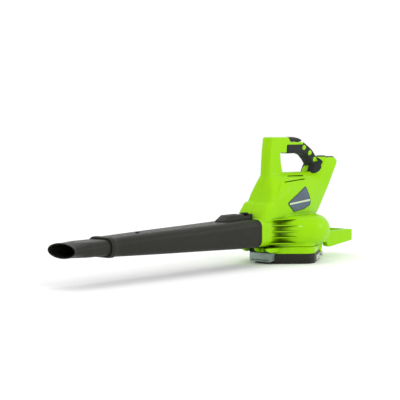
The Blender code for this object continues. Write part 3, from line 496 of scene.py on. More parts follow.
def rubber(name, colour):
    """Overmoulded rubber with a raised stipple."""
    mat, nodes, links, shader = shader_material(name, 0.68)
    cells = texture(nodes, links, "ShaderNodeTexVoronoi", 420.0)
    dots = spread(nodes, links, cells.outputs["Distance"], 1.0, 0.0, 0.15, 0.5)
    slow = noise(nodes, links, 22.0, 4.0)
    tone = spread(nodes, links, slow, 0.0, 1.0)
    base = mixed(nodes, links, tone, tinted(colour, 0.85), tinted(colour, 1.2))
    base = mixed(nodes, links, dots, base, tinted(colour, 1.6))
    links.new(base, shader.inputs["Base Color"])
    rough = spread(nodes, links, slow, 0.58, 0.78)
    links.new(rough, shader.inputs["Roughness"])
    bump(nodes, links, shader, dots, 0.35, 0.0003)
    return mat


def metal(name, colour, roughness, along=(6, 260, 260)):
    """Rolled or brushed metal, with fine lines one way and duller clouds."""
    mat, nodes, links, shader = shader_material(name, roughness, metallic=1.0)
    lines = noise(nodes, links, 4.0, 5.0, along)
    tone = spread(nodes, links, noise(nodes, links, 45.0, 5.0), 0.0, 1.0, 0.35, 0.75)
    base = mixed(nodes, links, tone, colour, tinted(colour, 0.75))
    links.new(base, shader.inputs["Base Color"])
    rough = spread(nodes, links, lines, roughness - 0.08, roughness + 0.12)
    links.new(rough, shader.inputs["Roughness"])
    bump(nodes, links, shader, lines, 0.08, 0.0002)
    return mat


def winding(name, colour):
    """Coils of lacquered wire."""
    mat, nodes, links, shader = shader_material(name, 0.3, metallic=0.9)
    wave = texture(nodes, links, "ShaderNodeTexWave", 350.0)
    wave.bands_direction = "Z"
    base = mixed(nodes, links, wave.outputs["Fac"], tinted(colour, 0.5), colour)
    links.new(base, shader.inputs["Base Color"])
    bump(nodes, links, shader, wave.outputs["Fac"], 0.5, 0.0004)
    return mat


GREEN = (0.290, 0.630, 0.001)
CHARCOAL = (0.0145, 0.0145, 0.0110)
SLATE = (0.085, 0.115, 0.160)

BLACK = (0.014, 0.014, 0.014)

MATERIALS = {  # the kind of surface, its colour, and then what that kind's function asks for
    # green_shell's last value is the share its tight corners are darkened to: painted shade.
    "green_shell": (plastic, GREEN, 0.34, 1600, 0.04, 1.05, 0.16, 0.03, 0.30),
    "charcoal_shell": (plastic, CHARCOAL, 0.42, 1200, 0.12, 1.9, 0.0, 0.10),
    "grip_rubber": (rubber, (0.016, 0.019, 0.019)),
    "control_black": (plastic, BLACK, 0.36, 1500, 0.06, 2.2),
    "badge_slate": (plastic, SLATE, 0.34, 2400, 0.5, 1.3, 0.0, 0.22),
    "badge_rim": (plastic, tinted(SLATE, 0.45), 0.4, 1600, 0.08, 1.4),
    "badge_stripe": (plastic, (0.56, 0.66, 0.46), 0.35, 1600, 0.08, 1.1),
    "latch_grey": (metal, (0.30, 0.38, 0.345), 0.42, (260, 6, 260)),
    "hinge_silver": (metal, (0.62, 0.64, 0.62), 0.30),
    "steel": (metal, (0.52, 0.52, 0.53), 0.28, (200, 200, 8)),
    "motor_alloy": (metal, (0.60, 0.61, 0.62), 0.40, (120, 120, 120)),
    "copper_winding": (winding, (0.62, 0.27, 0.12)),
    "rotor_steel": (metal, (0.10, 0.10, 0.11), 0.40, (200, 200, 4)),
    "circuit_board": (plastic, (0.012, 0.09, 0.045), 0.35, 500, 0.2),
    "cable_red": (plastic, (0.42, 0.015, 0.012), 0.45, 900, 0.1),
    "cable_black": (plastic, (0.012, 0.012, 0.012), 0.5, 900, 0.1),
    "battery_black": (plastic, (0.020, 0.021, 0.022), 0.45, 1100, 0.15, 1.8),
}
LOOKS = {name: kind(name, *values) for name, (kind, *values) in MATERIALS.items()}


def piece(name, mesh, body, replaced, slot, look=None, smooth=40.0):
    """A finished piece that rides on a body and stands for CAD nodes."""
    mesh.name = name
    mesh.materials.clear()
    mesh.materials.append(LOOKS[look or slot])
    mesh.shade_smooth()
    mesh.set_sharp_from_angle(angle=math.radians(smooth))
    obj = placed(name, mesh)
    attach(obj, body)
    if replaced:
        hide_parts(*replaced)
    return obj


def half_of(mesh, side):
    """The left (-1) or right (1) half of a mesh that is split at the middle plane."""
    low, high = sorted((side * SEAM_GAP / 2, side * 200.0))
    return keep(mesh, box((-400, low, 10), (320, high, 400)))


# The housing

BODY = [  # height; front and rear x; half-widths at the front, the middle and the rear
    (118, -158, 100, 46.0, 49.5, 28),
    (127, -157, 105, 46.5, 50.0, 30),
    (144, -148, 116, 46.0, 50.0, 33),
    (163, -135, 127, 45.0, 50.0, 35),
    (167, -130, 129, 44.0, 50.0, 35),
    (169, -117, 130, 45.0, 50.0, 35),
    (187, -110, 141, 41.0, 49.5, 36),
    (206, -103.5, 153, 33.5, 46.5, 36),
    (222, -99, 163, 27.0, 39.0, 35),
    (236, -94.5, 150, 22.0, 27.0, 27),
    (244, -91, 132, 16.0, 17.0, 17),
    (247, -88, 124, 12.0, 12.0, 12),
]


def body_ring(height, front, rear, half_front, half_middle, half_rear, grow):
    """A level section of the motor housing, waisted in plan from its middle to its front and rear."""
    corners = [
        (front - grow, -half_front - grow, 12), (-50, -half_middle - grow, 30),
        (45, -half_middle - grow, 30), (rear + grow, -half_rear - grow, 10),
    ]
    return [Vector((x, y, height)) * MM for x, y in round_corners(mirrored(corners))]


def body(grow=0.0, floor=None):
    rows = [list(row) for row in BODY]
    if floor is not None:
        rows = [row for row in rows if row[0] > floor + 3]
        rows.insert(0, [floor, *rows[0][1:]])
    rows[-1][0] += grow
    return loft([body_ring(*row, grow) for row in rows])


BLOCK = [  # height; front and rear x; half-widths at the front, the shoulder and the rear
    (150, 30, 122, 30, 33, 33),
    (206, 62, 156, 24, 36.5, 37),
    (240, 94, 177.5, 19, 36.5, 37),
    (262, 106, 191.5, 18, 36.5, 37),
    (274, 115, 198.0, 18, 36.5, 37),
    (282, 121, 194.0, 17, 36.0, 36),
    (288, 129, 180, 13, 32.5, 32.5),
]


def block_ring(height, front, rear, half_front, half_shoulder, half_rear, grow):
    shoulder = front + 22
    corners = [
        (front - grow, -half_front - grow, 8), (shoulder, -half_shoulder - grow, 12),
        (rear + grow, -half_rear - grow, 8),
    ]
    return [Vector((x, y, height)) * MM for x, y in round_corners(mirrored(corners))]


def block(grow=0.0):
    rows = [list(row) for row in BLOCK]
    rows[-1][0] += grow
    return loft([block_ring(*row, grow) for row in rows])


def scroll_radius(angle):
    """The scroll's outer radius, from its cutoff round to where it flows into the duct."""
    past = min((angle - CUTOFF_ANGLE) / CUTOFF_GROWTH, 1.0)
    eased = past * past * (3 - 2 * past)
    return SCROLL_START_RADIUS + (SCROLL_RADIUS - SCROLL_START_RADIUS) * eased


def scroll(grow=0.0, turns=120, steps=20):
    """The scroll as a solid: a half-round outer wall between a flat roof and floor."""
    half_height = (SCROLL_HIGH - SCROLL_LOW) / 2 + grow
    work = bmesh.new()
    rows = []
    for k in range(turns):
        angle = CUTOFF_ANGLE + 360.0 * k / turns
        inner = scroll_radius(angle) - SCROLL_BULGE
        out = Vector((math.cos(math.radians(angle)), math.sin(math.radians(angle)), 0))
        row = [(0.0, SCROLL_MID - half_height)]
        for i in range(steps + 1):
            turn = math.radians(-90 + 180 * i / steps)
            reach = (SCROLL_BULGE + grow) * math.cos(turn)
            row.append((inner + reach, SCROLL_MID + half_height * math.sin(turn)))
        row.append((0.0, SCROLL_MID + half_height))
        rows.append([work.verts.new((out * r + Vector((0, 0, z))) * MM) for r, z in row])
    for first, second in zip(rows, rows[1:] + rows[:1]):
        last = len(first) - 1
        for i in range(last):
            if i == 0:
                work.faces.new((first[0], first[1], second[1]))
            elif i == last - 1:
                work.faces.new((first[i], first[last], second[i]))
            else:
                work.faces.new((first[i], first[i + 1], second[i + 1], second[i]))
    return finished("scroll", work)


DUCT = [  # x; near and far y; low and high z; corner radius
    (10, -40, 122, 47.0, 129.0, 38),
    (-40, -48, 118, 47.0, 129.0, 36),
    (-80, -48, 102, 47.5, 128.7, 32),
    (-120, -48, 74, 49.0, 128.0, 26),
    (-146, -48.5, 55, 50.2, 126.0, 22),
    (-163, -49, 49, 50.3, 125.3, 20),
]
SEAM_X = -163.0
SPIGOT = (-45.6, 45.6, 53.7, 121.9, 17)
SPIGOT_BORE = (-42.8, 42.8, 56.5, 119.1, 14.5)


def rectangle_ring(x, low_y, high_y, low_z, high_z, radius, steps=10):
    corners = rectangle(low_y, low_z, high_y, high_z, radius)
    return [Vector((x, y, z)) * MM for y, z in round_corners(corners, steps)]


def duct():
    return loft([rectangle_ring(*row) for row in eased_rows(DUCT, 4)])


def duct_space():
    """The air's way through the duct, narrowing to the spigot's bore behind the seam."""
    rows = [
        (x, low_y + WALL, high_y - WALL, low_z + WALL, high_z - WALL, radius - WALL)
        for x, low_y, high_y, low_z, high_z, radius in DUCT[:-1]
    ]
    rows.append((-152, *SPIGOT_BORE))
    rows.append((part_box("housing_left")[0].x / MM - 10, *SPIGOT_BORE))
    return loft([rectangle_ring(*row) for row in rows])


HANDLE_OUTER = [
    (-14, 324, 0), (20, 328.3, 4), (62, 328.8, 10), (78, 321, 14), (100, 308.5, 30),
    (122, 287, 30), (152, 258, 6),
]
HANDLE_INNER = [
    (150, 244, 6), (108, 244, 4), (112, 258, 16), (93, 280, 30), (74, 295.3, 20),
    (48, 302.0, 20), (-14, 303.5, 0),
]


def handle_core(grow=0.0, edge=6.0):
    outline = inset(list(reversed(round_corners(HANDLE_OUTER + HANDLE_INNER, 5))), -grow)
    half = CORE_HALF + grow
    return plate([outline], -half, half, "Y", edge)


FRONT = [
    (-94, 236, 4), (-28, 236, 4), (-34, 250, 12), (-41, 272, 20), (-44, 301.5, 3),
    (-15.7, 301.5, 2), (-14.5, 323.5, 2), (62, 325.0, 2), (58.5, 331.0, 2),
    (2.5, 330.7, 2), (-7.5, 344.5, 2), (-82, 344.5, 6), (-88, 308, 40), (-92, 252, 30),
]
COLUMN_SPACE = [
    (-91, 238, 4), (-31, 238, 4), (-37, 251, 12), (-44, 272, 20), (-47, 304.5, 3),
    (-18, 304.5, 2), (-17, 326.5, 2), (-2, 327, 2), (-11, 341.5, 2), (-79, 341.5, 4),
    (-85, 308, 40), (-89, 252, 30),
]
SCREWS = [(-68, 322), (-62, 264), (-89, 182), (0, 229), (86, 158), (-130, 145)]
BOSS_RADIUS = 6.0
SCREW_PROFILE = [  # radius; height over the seat of the head
    (0, -20), (1.0, -20), (1.6, -17), (1.6, 0.3), (3.6, 0.3), (3.8, 0.6), (3.6, 2.0),
    (2.6, 2.7), (0, 2.9),
]
VENTS = [(-26, 237.3, 47, 236.7), (-54, 221.5, 44, 228.0)]
GRIP_OVALS = [(62.5, 315.5), (89.5, 300.5), (112.5, 281.5)]
OVAL_TILT = -75.0


def front_column():
    return slab(FRONT, COLUMN_HALF, 1.4, 6)


def bay_point(across, along):
    """(x, z) in mm of a place in the tilted bay."""
    x = across * math.cos(BAY_TILT) + along * math.sin(BAY_TILT)
    z = -across * math.sin(BAY_TILT) + along * math.cos(BAY_TILT)
    return x, z


def bay(grow=0.0, top=380.0):
    low, high = BAY_BACK - BAY_DEPTH - grow, BAY_BACK + grow
    floor = BAY_FLOOR - grow
    places = ((low, floor), (high, floor), (high, top), (low, top))
    outline = [bay_point(across, along) for across, along in places]
    half = BAY_HALF + grow
    return plate([outline], -half, half, "Y")


def fins():
    """Five level fins across the valley between the duct and the scroll, each ending on the bulge."""
    made = []
    for height in (57.5, 73.5, 90.0, 106.5, 122.5):
        level = (height - SCROLL_MID) / (SCROLL_HIGH - SCROLL_MID)
        depth = SCROLL_BULGE * (1 - math.sqrt(1 - level * level))
        angle = math.radians(FIN_ANGLE)
        radius = scroll_radius(FIN_ANGLE) - depth + 0.4
        end = (radius * math.cos(angle), radius * math.sin(angle))
        outline = [(-128, -46, 0), (-123, -48.7, 3), (*end, 3), (end[0], -44, 0), (-60, -40, 0)]
        made.append(plate([round_corners(outline, 4)], height - 1.1, height + 1.1, edge=0.7))
    return made


def slot_cutter(x0, z0, x1, z1, width):
    """A slanted slot with round ends through both side walls."""
    along = Vector((x1 - x0, z1 - z0)).normalized()
    across = Vector((-along.y, along.x)) * width / 2
    corners = []
    for end, way in ((Vector((x0, z0)), 1), (Vector((x1, z1)), -1)):
        corners += [end + across * way, end - across * way]
    outline = round_corners([(*corner, width * 0.45) for corner in corners], 5)
    return plate([outline], -60, 60, "Y")


def rib(points, radius, side, steps=12):
    """A raised crease along points (x, z, reach from the middle plane) on one side of the body."""
    route = [Vector((x, side * y, z)) * MM for x, z, y in eased_rows(points, 6)]
    count = len(route)
    rings = []
    for i, centre in enumerate(route):
        ahead = (route[min(i + 1, count - 1)] - route[max(i - 1, 0)]).normalized()
        across = ahead.cross(Vector((0, 1, 0))).normalized()
        share = math.sin(math.pi * (i + 0.35) / (count - 0.3)) ** 0.5
        ring = []
        for k in range(steps):
            turn = 2 * math.pi * k / steps
            offset = across * math.cos(turn) * radius
            offset += Vector((0, 1, 0)) * math.sin(turn) * radius * 0.6
            ring.append(centre + offset * share * MM)
        rings.append(ring)
    return loft(rings)


def screw_head(z):
    """How far the head of a screw at height z sits from the middle plane."""
    return 7.5 if z > 250 else 12.0


BASE = [(-93, -33, 6), (-24, -102, 26), (0, -102, 14), (103, -43, 2)]


def base_outline(margin=0.0):
    """The plan of the inlet's ring and door, an octagon drawn out at the rear for the hinge."""
    corners = mirrored(BASE)
    shrunk = inset([Vector((x, y)) for x, y, _ in corners], margin)
    radii = [max(radius - margin, 0.5) for _, _, radius in corners]
    return round_corners([(*point, radius) for point, radius in zip(shrunk, radii)], 9)


CREASES = [  # radius; points (x, z, reach from the middle plane)
    (4.6, [(-63, 224, 35.6), (-80, 200, 43.0), (-99, 172, 45.8), (-112, 149, 47.6)]),
    (4.0, [(-118, 166, 37.6), (-130, 156, 41.2), (-140, 144, 44.2), (-148, 132, 45.4)]),
    (2.8, [(-44, 229.6, 33.2), (-10, 231.2, 32.0), (20, 232.4, 31.4), (42, 232.9, 30.6)]),
]


def creases():
    """Raised creases down the front corner of the body and a bar between the vents."""
    return [rib(points, radius, side) for side in (-1, 1) for radius, points in CREASES]


def housing_outer():
    """The housing's outer form in one skin, before it is hollowed."""
    spigot = loft([rectangle_ring(x, *SPIGOT) for x in (-155, SEAM_X - 42)])
    skirt = plate([base_outline(1.2)], SCROLL_LOW, SKIRT_TOP)
    solids = [body(), duct(), scroll(), block(), front_column(), handle_core(), spigot, skirt]
    return moulded_shape(solids + creases(), voxel=1.5, rounds=5)


def housing_cavity():
    bosses = [cross_rod(BOSS_RADIUS, 60, (x, 0, z)) for x, z in SCREWS]
    column = slab(COLUMN_SPACE, COLUMN_HALF - WALL, steps=3)
    cavity = add(body(-WALL, ROOF_TOP), column, handle_core(-WALL, 4.0))
    cavity = cut(cavity, bay(WALL, 300), *bosses)
    cavity = add(cavity, bay(), scroll(-WALL), duct_space(), rod(EYE_RADIUS, 30, 60, steps=96))
    return add(cavity, rod(9, 120, 140))


def grip_oval(centre, half_long, half_short, steps=36):
    """The outline of one of the grip's slightly egg-shaped ovals."""
    points = []
    for k in range(steps):
        turn = 2 * math.pi * k / steps
        egg = 1 + 0.12 * math.cos(turn)
        point = Vector((half_long * math.cos(turn), half_short * egg * math.sin(turn)))
        points.append(Vector(centre) + Matrix.Rotation(math.radians(OVAL_TILT), 2) @ point)
    return points


def domes(side):
    """The green ovals that stand up through the grip."""
    made = []
    for centre in GRIP_OVALS:
        for share, rise in ((1.0, 1.4), (0.86, 2.0), (0.64, 2.5)):
            outline = grip_oval(centre, 7.2 * share, 9.0 * share)
            made.append(side_plate(outline, side, 10.0, CORE_HALF + rise, 0.5))
    return made


def housing(outer):
    cavity = housing_cavity()
    shell = cut(add(outer, *fins()), cavity)
    shell = add(shell, *domes(-1), *domes(1))
    trigger_slot = [(-14.2, 290, 0), (30, 290, 0), (30, 322.6, 2), (-14.2, 322.6, 2)]
    tools = [
        slab(trigger_slot, 12.3),
        box((48.5, -5.3, 321), (60, 5.3, 335)),
        box((-19, -3.4, 309.6), (-13, 3.4, 314.4)),
        box((80, -8, 178), (110, 8, 196)),
        cavity,
    ]
    tools += [cross_rod(1.8, 14.4, pivot) for pivot in (TRIGGER_PIVOT, LEVER_PIVOT)]
    tools += [slot_cutter(*vent, 2.6) for vent in VENTS]
    for x, z in SCREWS:
        head = screw_head(z)
        tools.append(rod(4.3, head, 60, (x, 0, z), "Y"))
        tools.append(rod(2.0, -9, head + 1, (x, 0, z), "Y"))
    shell = cut(shell, *tools)
    for name, side in (("housing_left", -1), ("housing_right", 1)):
        piece(f"{name}_shell", half_of(shell, side), "housing", [name], "green_shell", smooth=50)
    for i, (x, z) in enumerate(SCREWS):
        head = screw_head(z)
        profile = [(radius, head + height) for radius, height in SCREW_PROFILE]
        screw = turned(profile, (x, 0, z), "Y", 40)
        screw = cut(screw, rod(1.5, head + 1.4, head + 5, (x, 0, z), "Y", steps=6))
        name = f"housing_screw_{i + 1}"
        piece(f"{name}_head", screw, "housing", [name], "steel")


# The grip, the trigger and the lever

GRIP_AREA = [
    (-14.0, 322.9, 2), (63, 323.9, 3), (59.5, 334, 2), (80, 330, 4), (121, 306, 6),
    (121.5, 292, 2), (127, 284, 3), (131, 275, 2.5), (122.5, 265, 3), (120.5, 257, 6),
    (113, 248.5, 10), (102, 242, 12), (88, 245, 8), (80, 262, 10), (66, 288, 16),
    (40, 297, 16), (-14.0, 297, 2),
]


def grips(outer):
    """The rubber skins: the handle's and the block's forms grown a little, inside one outline."""
    skin = moulded_shape([handle_core(GRIP_PROUD), block(GRIP_PROUD)], voxel=1.2, rounds=4)
    skin = keep(skin, slab(GRIP_AREA, 60))
    skin = cut(skin, box((60, -1, 230), (130, 19.2, 264)), box((60, 12, 230), (106, 32, 263)))
    skin = moulded_shape([skin], voxel=0.8, rounds=4)
    skin = cut(skin, outer, box((-20, -12.3, 290), (30, 12.3, 312)))
    for name, side in (("grip_left", -1), ("grip_right", 1)):
        half = half_of(skin, side)
        for centre in GRIP_OVALS:
            half = cut(half, side_plate(grip_oval(centre, 7.6, 9.4), side, 8.0, 30.0))
        piece(f"{name}_rubber", half, "housing", [name], "grip_rubber")


def pin_bar(node, body_name, radius, half, pivot, edge=0.3):
    """The steel pin of a pivot."""
    piece(f"{node}_bar", cross_rod(radius, half, pivot, edge), body_name, [node], "steel")


def trigger():
    outline = [
        (-13.3, 320.5, 3), (-13.3, 300.5, 3), (-4, 299.0, 8), (24, 299.5, 5),
        (28.5, 303, 3), (28.5, 315, 2), (-2, 320.5, 2),
    ]
    grooves = [cross_rod(0.7, 9.5, (4 * k, 0, 299.0), 0.3, 16) for k in range(6)]
    finger = cut(slab(outline, 11.9, 1.6), cross_rod(PIN_HOLE, 20, TRIGGER_PIVOT), *grooves)
    piece("trigger_finger_lever", finger, "trigger_finger", ["trigger"], "control_black")
    pin_bar("trigger_pin", "trigger_finger", 1.5, 14, TRIGGER_PIVOT)


def cruise_lever():
    outline = [
        (-5.5, 343.6, 1.5), (4.5, 332.6, 3), (12, 331.5, 2), (49, 331.6, 0),
        (53, 332.6, 0), (55, 334.3, 0), (57.0, 336.4, 1), (42, 341.6, 20),
        (18, 344.9, 8), (4, 343.9, 6),
    ]
    lug = [(50.0, 336, 0), (50.0, 324.2, 3), (56.0, 324.2, 3), (56.0, 336, 0)]
    lever = add(slab(outline, 13, 1.8), slab(lug, 4.9, 0.4))
    tops = [(14 + 3.4 * k, 0, 344.3 - 0.09 * k * k) for k in range(5)]
    ridges = [cross_rod(0.8, 9, top, 0.4, 16) for top in tops]
    lever = cut(add(lever, *ridges), cross_rod(PIN_HOLE, 20, LEVER_PIVOT))
    piece("cruise_lever_cap", lever, "cruise", ["cruise_lever"], "control_black")
    pin_bar("cruise_lever_pin", "cruise", 1.5, 14, LEVER_PIVOT)


BADGE = [(30, 208.5, 3), (47, 171, 6), (48, 157, 8), (18, 146, 10), (-27, 140, 4), (-56, 164, 5)]


def badge_part(outer, height, outline, side):
    """A skin of that height over the body on one side, within an outline."""
    part = keep(body(height), plate([outline], -70, 70, "Y"))
    part = cut(part, outer)
    low, high = sorted((side * 35.0, side * 70.0))
    return keep(part, box((-80, low, 100), (80, high, 240)))


def badges(outer):
    """A dark rim round a slate face, with one pale bar across it."""
    outline = list(reversed(round_corners(BADGE)))
    opening = plate([inset(outline, 1.6)], -70, 70, "Y")
    bar = [(-47, 163.5), (-47, 159.5), (44.5, 167.0), (44.5, 172.5)]
    for name, side in (("badge_left", -1), ("badge_right", 1)):
        rim = cut(badge_part(outer, 1.7, outline, side), opening)
        piece(f"{name}_rim", rim, "housing", [name], "badge_slate", "badge_rim")
        face = badge_part(outer, 1.2, inset(outline, 1.5), side)
        piece(f"{name}_face", face, "housing", [name], "badge_slate")
        stripe = badge_part(outer, 1.5, bar, side)
        piece(f"{name}_stripe", stripe, "housing", [name], "badge_slate", "badge_stripe")


OUTER = housing_outer()
grips(OUTER)
badges(OUTER)
trigger()
cruise_lever()
housing(OUTER)


# The ring, the door and their latch


def turned_box(low, high, edge):
    """A block at the ring's near front corner, square to its slanted side."""
    outline = round_corners(rectangle(*low[:2], *high[:2], 0))
    made = plate([outline], low[2], high[2], "Z", edge)
    return moved(made, Matrix.Rotation(math.radians(225), 4, "Z"))


def intake_ring():
    low = DOOR_TOP + GAP
    ring = plate([base_outline()], low, RING_TOP, "Z", 1.3)
    ring = cut(ring, plate([base_outline(WALL)], 10, 42.5), rod(EYE_RADIUS, 30, 60, steps=128))
    x, _, z = DOOR_HINGE
    lug = [
        (98, 45.2, 0), (98, 32, 2), (x - 5.2, 28, 2), (x - 5.2, z - 5.2, 5.1),
        (x + 5.2, z - 5.2, 5.1), (x + 5.2, 28, 3), (x + 10, 45.2, 0),
    ]
    catch = [(-88, 45.4, 0), (-116.5, 45.4, 3), (-116.5, 35.5, 3), (-110, 31.5, 3), (-88, 31.5, 0)]
    side_rib = [(-84, 45.1, 0), (-142, 45.1, 3), (-138, 39, 5), (-122, 32.4, 3), (-84, 32.4, 0)]
    middle_rib = [(-100, 44.8, 0), (-136, 44.8, 3), (-132, 40, 3), (-120, 33.2, 3), (-100, 33.2, 0)]
    ring = add(ring, *both_sides(round_corners(lug), 35.0, 40.9))
    ring = add(ring, slab(catch, 41, 0.8))
    pockets = [box((-130, middle - 11, 25), (-106, middle + 11, 44.4)) for middle in (-26, 26)]
    ring = cut(ring, cross_rod(2.3, 50, DOOR_HINGE), *pockets)
    ring = add(ring, *both_sides(round_corners(side_rib), 38.4, 46.0, 1.2))
    ring = add(ring, plate([round_corners(middle_rib)], -5, 4, "Y", 1.2))
    ring = add(ring, turned_box((84, -47.5, 27.5), (90.4, -20.5, 45.4), 1.4))
    piece("intake_ring_shell", ring, "housing", ["intake_ring"], "green_shell", smooth=35)


def slot_ring(inner, outer, count, bar, steps=12):
    """Arc-shaped slots with rounded corners between radial bars."""
    made = []
    middle = (inner + outer) / 2
    half = math.pi / count - bar / middle / 2
    for k in range(count):
        centre = 2 * math.pi * k / count
        arc = [centre - half + 2 * half * i / steps for i in range(steps + 1)]
        corners = [(outer * math.cos(a), outer * math.sin(a), 0) for a in arc]
        corners += [(inner * math.cos(a), inner * math.sin(a), 0) for a in reversed(arc)]
        for i in (0, steps, steps + 1, 2 * steps + 1):
            corners[i] = (*corners[i][:2], 1.8)
        made.append(round_corners(corners, 4))
    return made


def inlet_door():
    """The door with its grille and the latch's lugs."""
    door = plate([base_outline()], 0, DOOR_TOP, "Z", 1.6)
    door = cut(door, plate([base_outline(WALL)], 4, 40))
    for inner, outer, count in ((26, 52, 8), (57, 82, 12)):
        for outline in slot_ring(inner, outer, count, 4.0):
            door = cut(door, plate([outline], -5, 9))
    for radius in (54.5, 84.5):
        rib_profile = [(radius - 1, 3), (radius + 1, 3), (radius + 0.8, 6), (radius - 0.8, 6)]
        door = add(door, turned(rib_profile, steps=128))
    lug = [(-89, 9.8, 0), (-89, 20.2, 0), (-107.2, 20.2, 5.1), (-107.2, 9.8, 5.1)]
    door = add(door, *both_sides(round_corners(lug), 28.0, 34.4, 0.6))
    door = cut(door, cross_rod(PIN_HOLE, 50, LATCH_PIVOT))
    piece("inlet_door_pan", door, "door", ["inlet_door"], "charcoal_shell")


def strap(side):
    """The bracket's band along one slanted side of the door, with its two rivets."""
    corners = [(26.2, 87.35, 0.3), (27.1, 88.9, 0.8), (105.0, 44.3, 0.8), (103.6, 43.05, 0)]
    outline = round_corners([(x, side * y, radius) for x, y, radius in corners], 4)
    band = plate([outline], 4.2, 19.0, "Z", 0.4)
    outwards = Vector((59, -103, 0)).normalized()
    spin = outwards.to_track_quat("Z", "Y").to_matrix().to_4x4()
    for share in (0.16, 0.62):
        rivet = rod(2.4, -1.2, 1.4, edge=0.6, steps=32)
        rivet.transform(place((26.9 + 78 * share, 44.7 * share - 88.3, 11.6)) @ spin)
        if side > 0:
            rivet.transform(Matrix.Scale(-1, 4, (0, 1, 0)))
            rivet.flip_normals()
        band = add(band, rivet)
    return band


def hinge():
    """The bracket, with a strap on either side, and the hinge's pin."""
    x, _, z = DOOR_HINGE
    bracket = plate([round_corners(rectangle(-44.4, 5, 44.4, 18, 1))], 103.4, 105.2, "X", 0.5)
    ear = [(103.6, 5.2, 0), (117, 5.5, 5), (119, 13, 5), (118, 21, 4), (103.6, 17.8, 0)]
    bracket = add(bracket, *both_sides(round_corners(ear), 41.4, 43.3), strap(-1), strap(1))
    bracket = cut(bracket, cross_rod(2.3, 50, DOOR_HINGE))
    piece("hinge_bracket_strap", bracket, "door", ["hinge_bracket"], "hinge_silver")
    pin = add(cross_rod(2.0, 45, DOOR_HINGE, 0.5), rod(4.0, -46.6, -43.6, (x, 0, z), "Y", 1.0))
    piece("hinge_pin_bar", pin, "housing", ["hinge_pin"], "steel")


def door_latch():
    """A folded plate with two ears on its pin and two sprung hooks over the ring's catch."""
    face = [(-37, 5.2, 3), (37, 5.2, 3), (37, 30.5, 1.5), (-37, 30.5, 1.5)]
    latch = plate([round_corners(face)], -112.6, -110.8, "X", 0.7)
    latch = add(latch, cross_rod(1.6, 35.5, (-111.4, 0, 28.9), 0.8))
    ear = [(-112.4, 7, 1), (-112.4, 30, 1), (-94.5, 30, 5), (-94.5, 8, 5)]
    hook = [(-112.5, 28), (-110.9, 28), (-110.9, 38), (-109.2, 41.0), (-110.6, 42.2), (-112.5, 39)]
    latch = add(latch, *both_sides(round_corners(ear), 34.9, 36.7, 0.6))
    slot = round_corners(rectangle(-30, 9.2, 30, 11.2, 0.9))
    latch = cut(latch, plate([slot], -120, -109, "X"), cross_rod(PIN_HOLE, 50, LATCH_PIVOT))
    piece("door_latch_plate", latch, "latch", ["door_latch"], "latch_grey")
    hooks = add(*both_sides(hook, 17.0, 36.0, 0.5))
    hooks = add(hooks, cross_rod(1.0, 36.0, (-111.7, 0, 29.2), 0.4))
    piece("door_latch_hooks", hooks, "latch", ["door_latch"], "latch_grey", "control_black")
    pin_bar("latch_pin", "door", 1.5, 38.5, LATCH_PIVOT, 0.4)


# The tube and the nozzle

TUBE = [  # x; half-width; half-height; corner radius
    (-163.3, 49.0, 37.5, 20),
    (-230, 49.0, 37.0, 20),
    (-370, 47.2, 32.7, 21),
    (-520, 45.0, 28.5, 21),
    (-690, 42.6, 22.7, 20),
]
TUBE_COLLAR = [  # way back from the tube's rear end; growth of the section
    (0.0, -0.8), (0.8, 0.0), (9.0, 0.0), (9.8, -0.8), (11.0, -0.8), (11.8, 0.0)
]
TUBE_BAND = [  # x; growth of the front section, round the band's lip and back inside
    (-691.0, 0.2), (-692.0, 1.2), (-693.2, 1.8), (-699.0, 1.9), (-704.8, 1.7),
    (-706.6, 1.2), (-708.0, 0.2), (-708.4, -0.8), (-708.2, -2.2), (-707.0, -3.0),
    (-700.0, -3.0), (-570.0, -3.0),
]
NOZZLE = [  # as TUBE
    (-575, 39.2, 19.2, 17.5),
    (-707, 39.2, 19.2, 17.5),
    (-735, 40.2, 18.4, 17),
    (-780, 43.2, 17.9, 17.4),
    (-810, 45.9, 17.7, 17.5),
]
NOZZLE_WALL = 2.2
FLARE = (-762, 42.3, 18.05)  # x; half-width; half-height where the mouth's flare begins
MOUTH = (-828, 47.2, 17.6)
RIM_DEPTH = 3.2
RIM = [(2.4, 0.45), (1.2, 0.6), (0.3, 0.35), (0.0, -0.4), (0.3, -1.4), (1.4, -2.2)]


def tube_ring(x, half_width, half_height, radius, grow=0.0):
    wide, high = half_width + grow, half_height + grow
    return rectangle_ring(x, -wide, wide, TUBE_MID - high, TUBE_MID + high, radius + grow, 12)


def oval_ring(x, half_width, half_height, grow=0.0, share=1.0):
    """A ring with as many points as tube_ring's, that share of the way to an ellipse."""
    flat = tube_ring(x, half_width, half_height, half_height - 0.3, grow)
    points = []
    for quarter in (180, 270, 0, 90):
        for k in range(13):
            angle = math.radians(quarter + 3 + 84 * k / 12)
            y = (half_width + grow) * math.cos(angle)
            z = (half_height + grow) * math.sin(angle)
            points.append(Vector((x, y, TUBE_MID + z)) * MM)
    return [a.lerp(b, share) for a, b in zip(flat, points)]


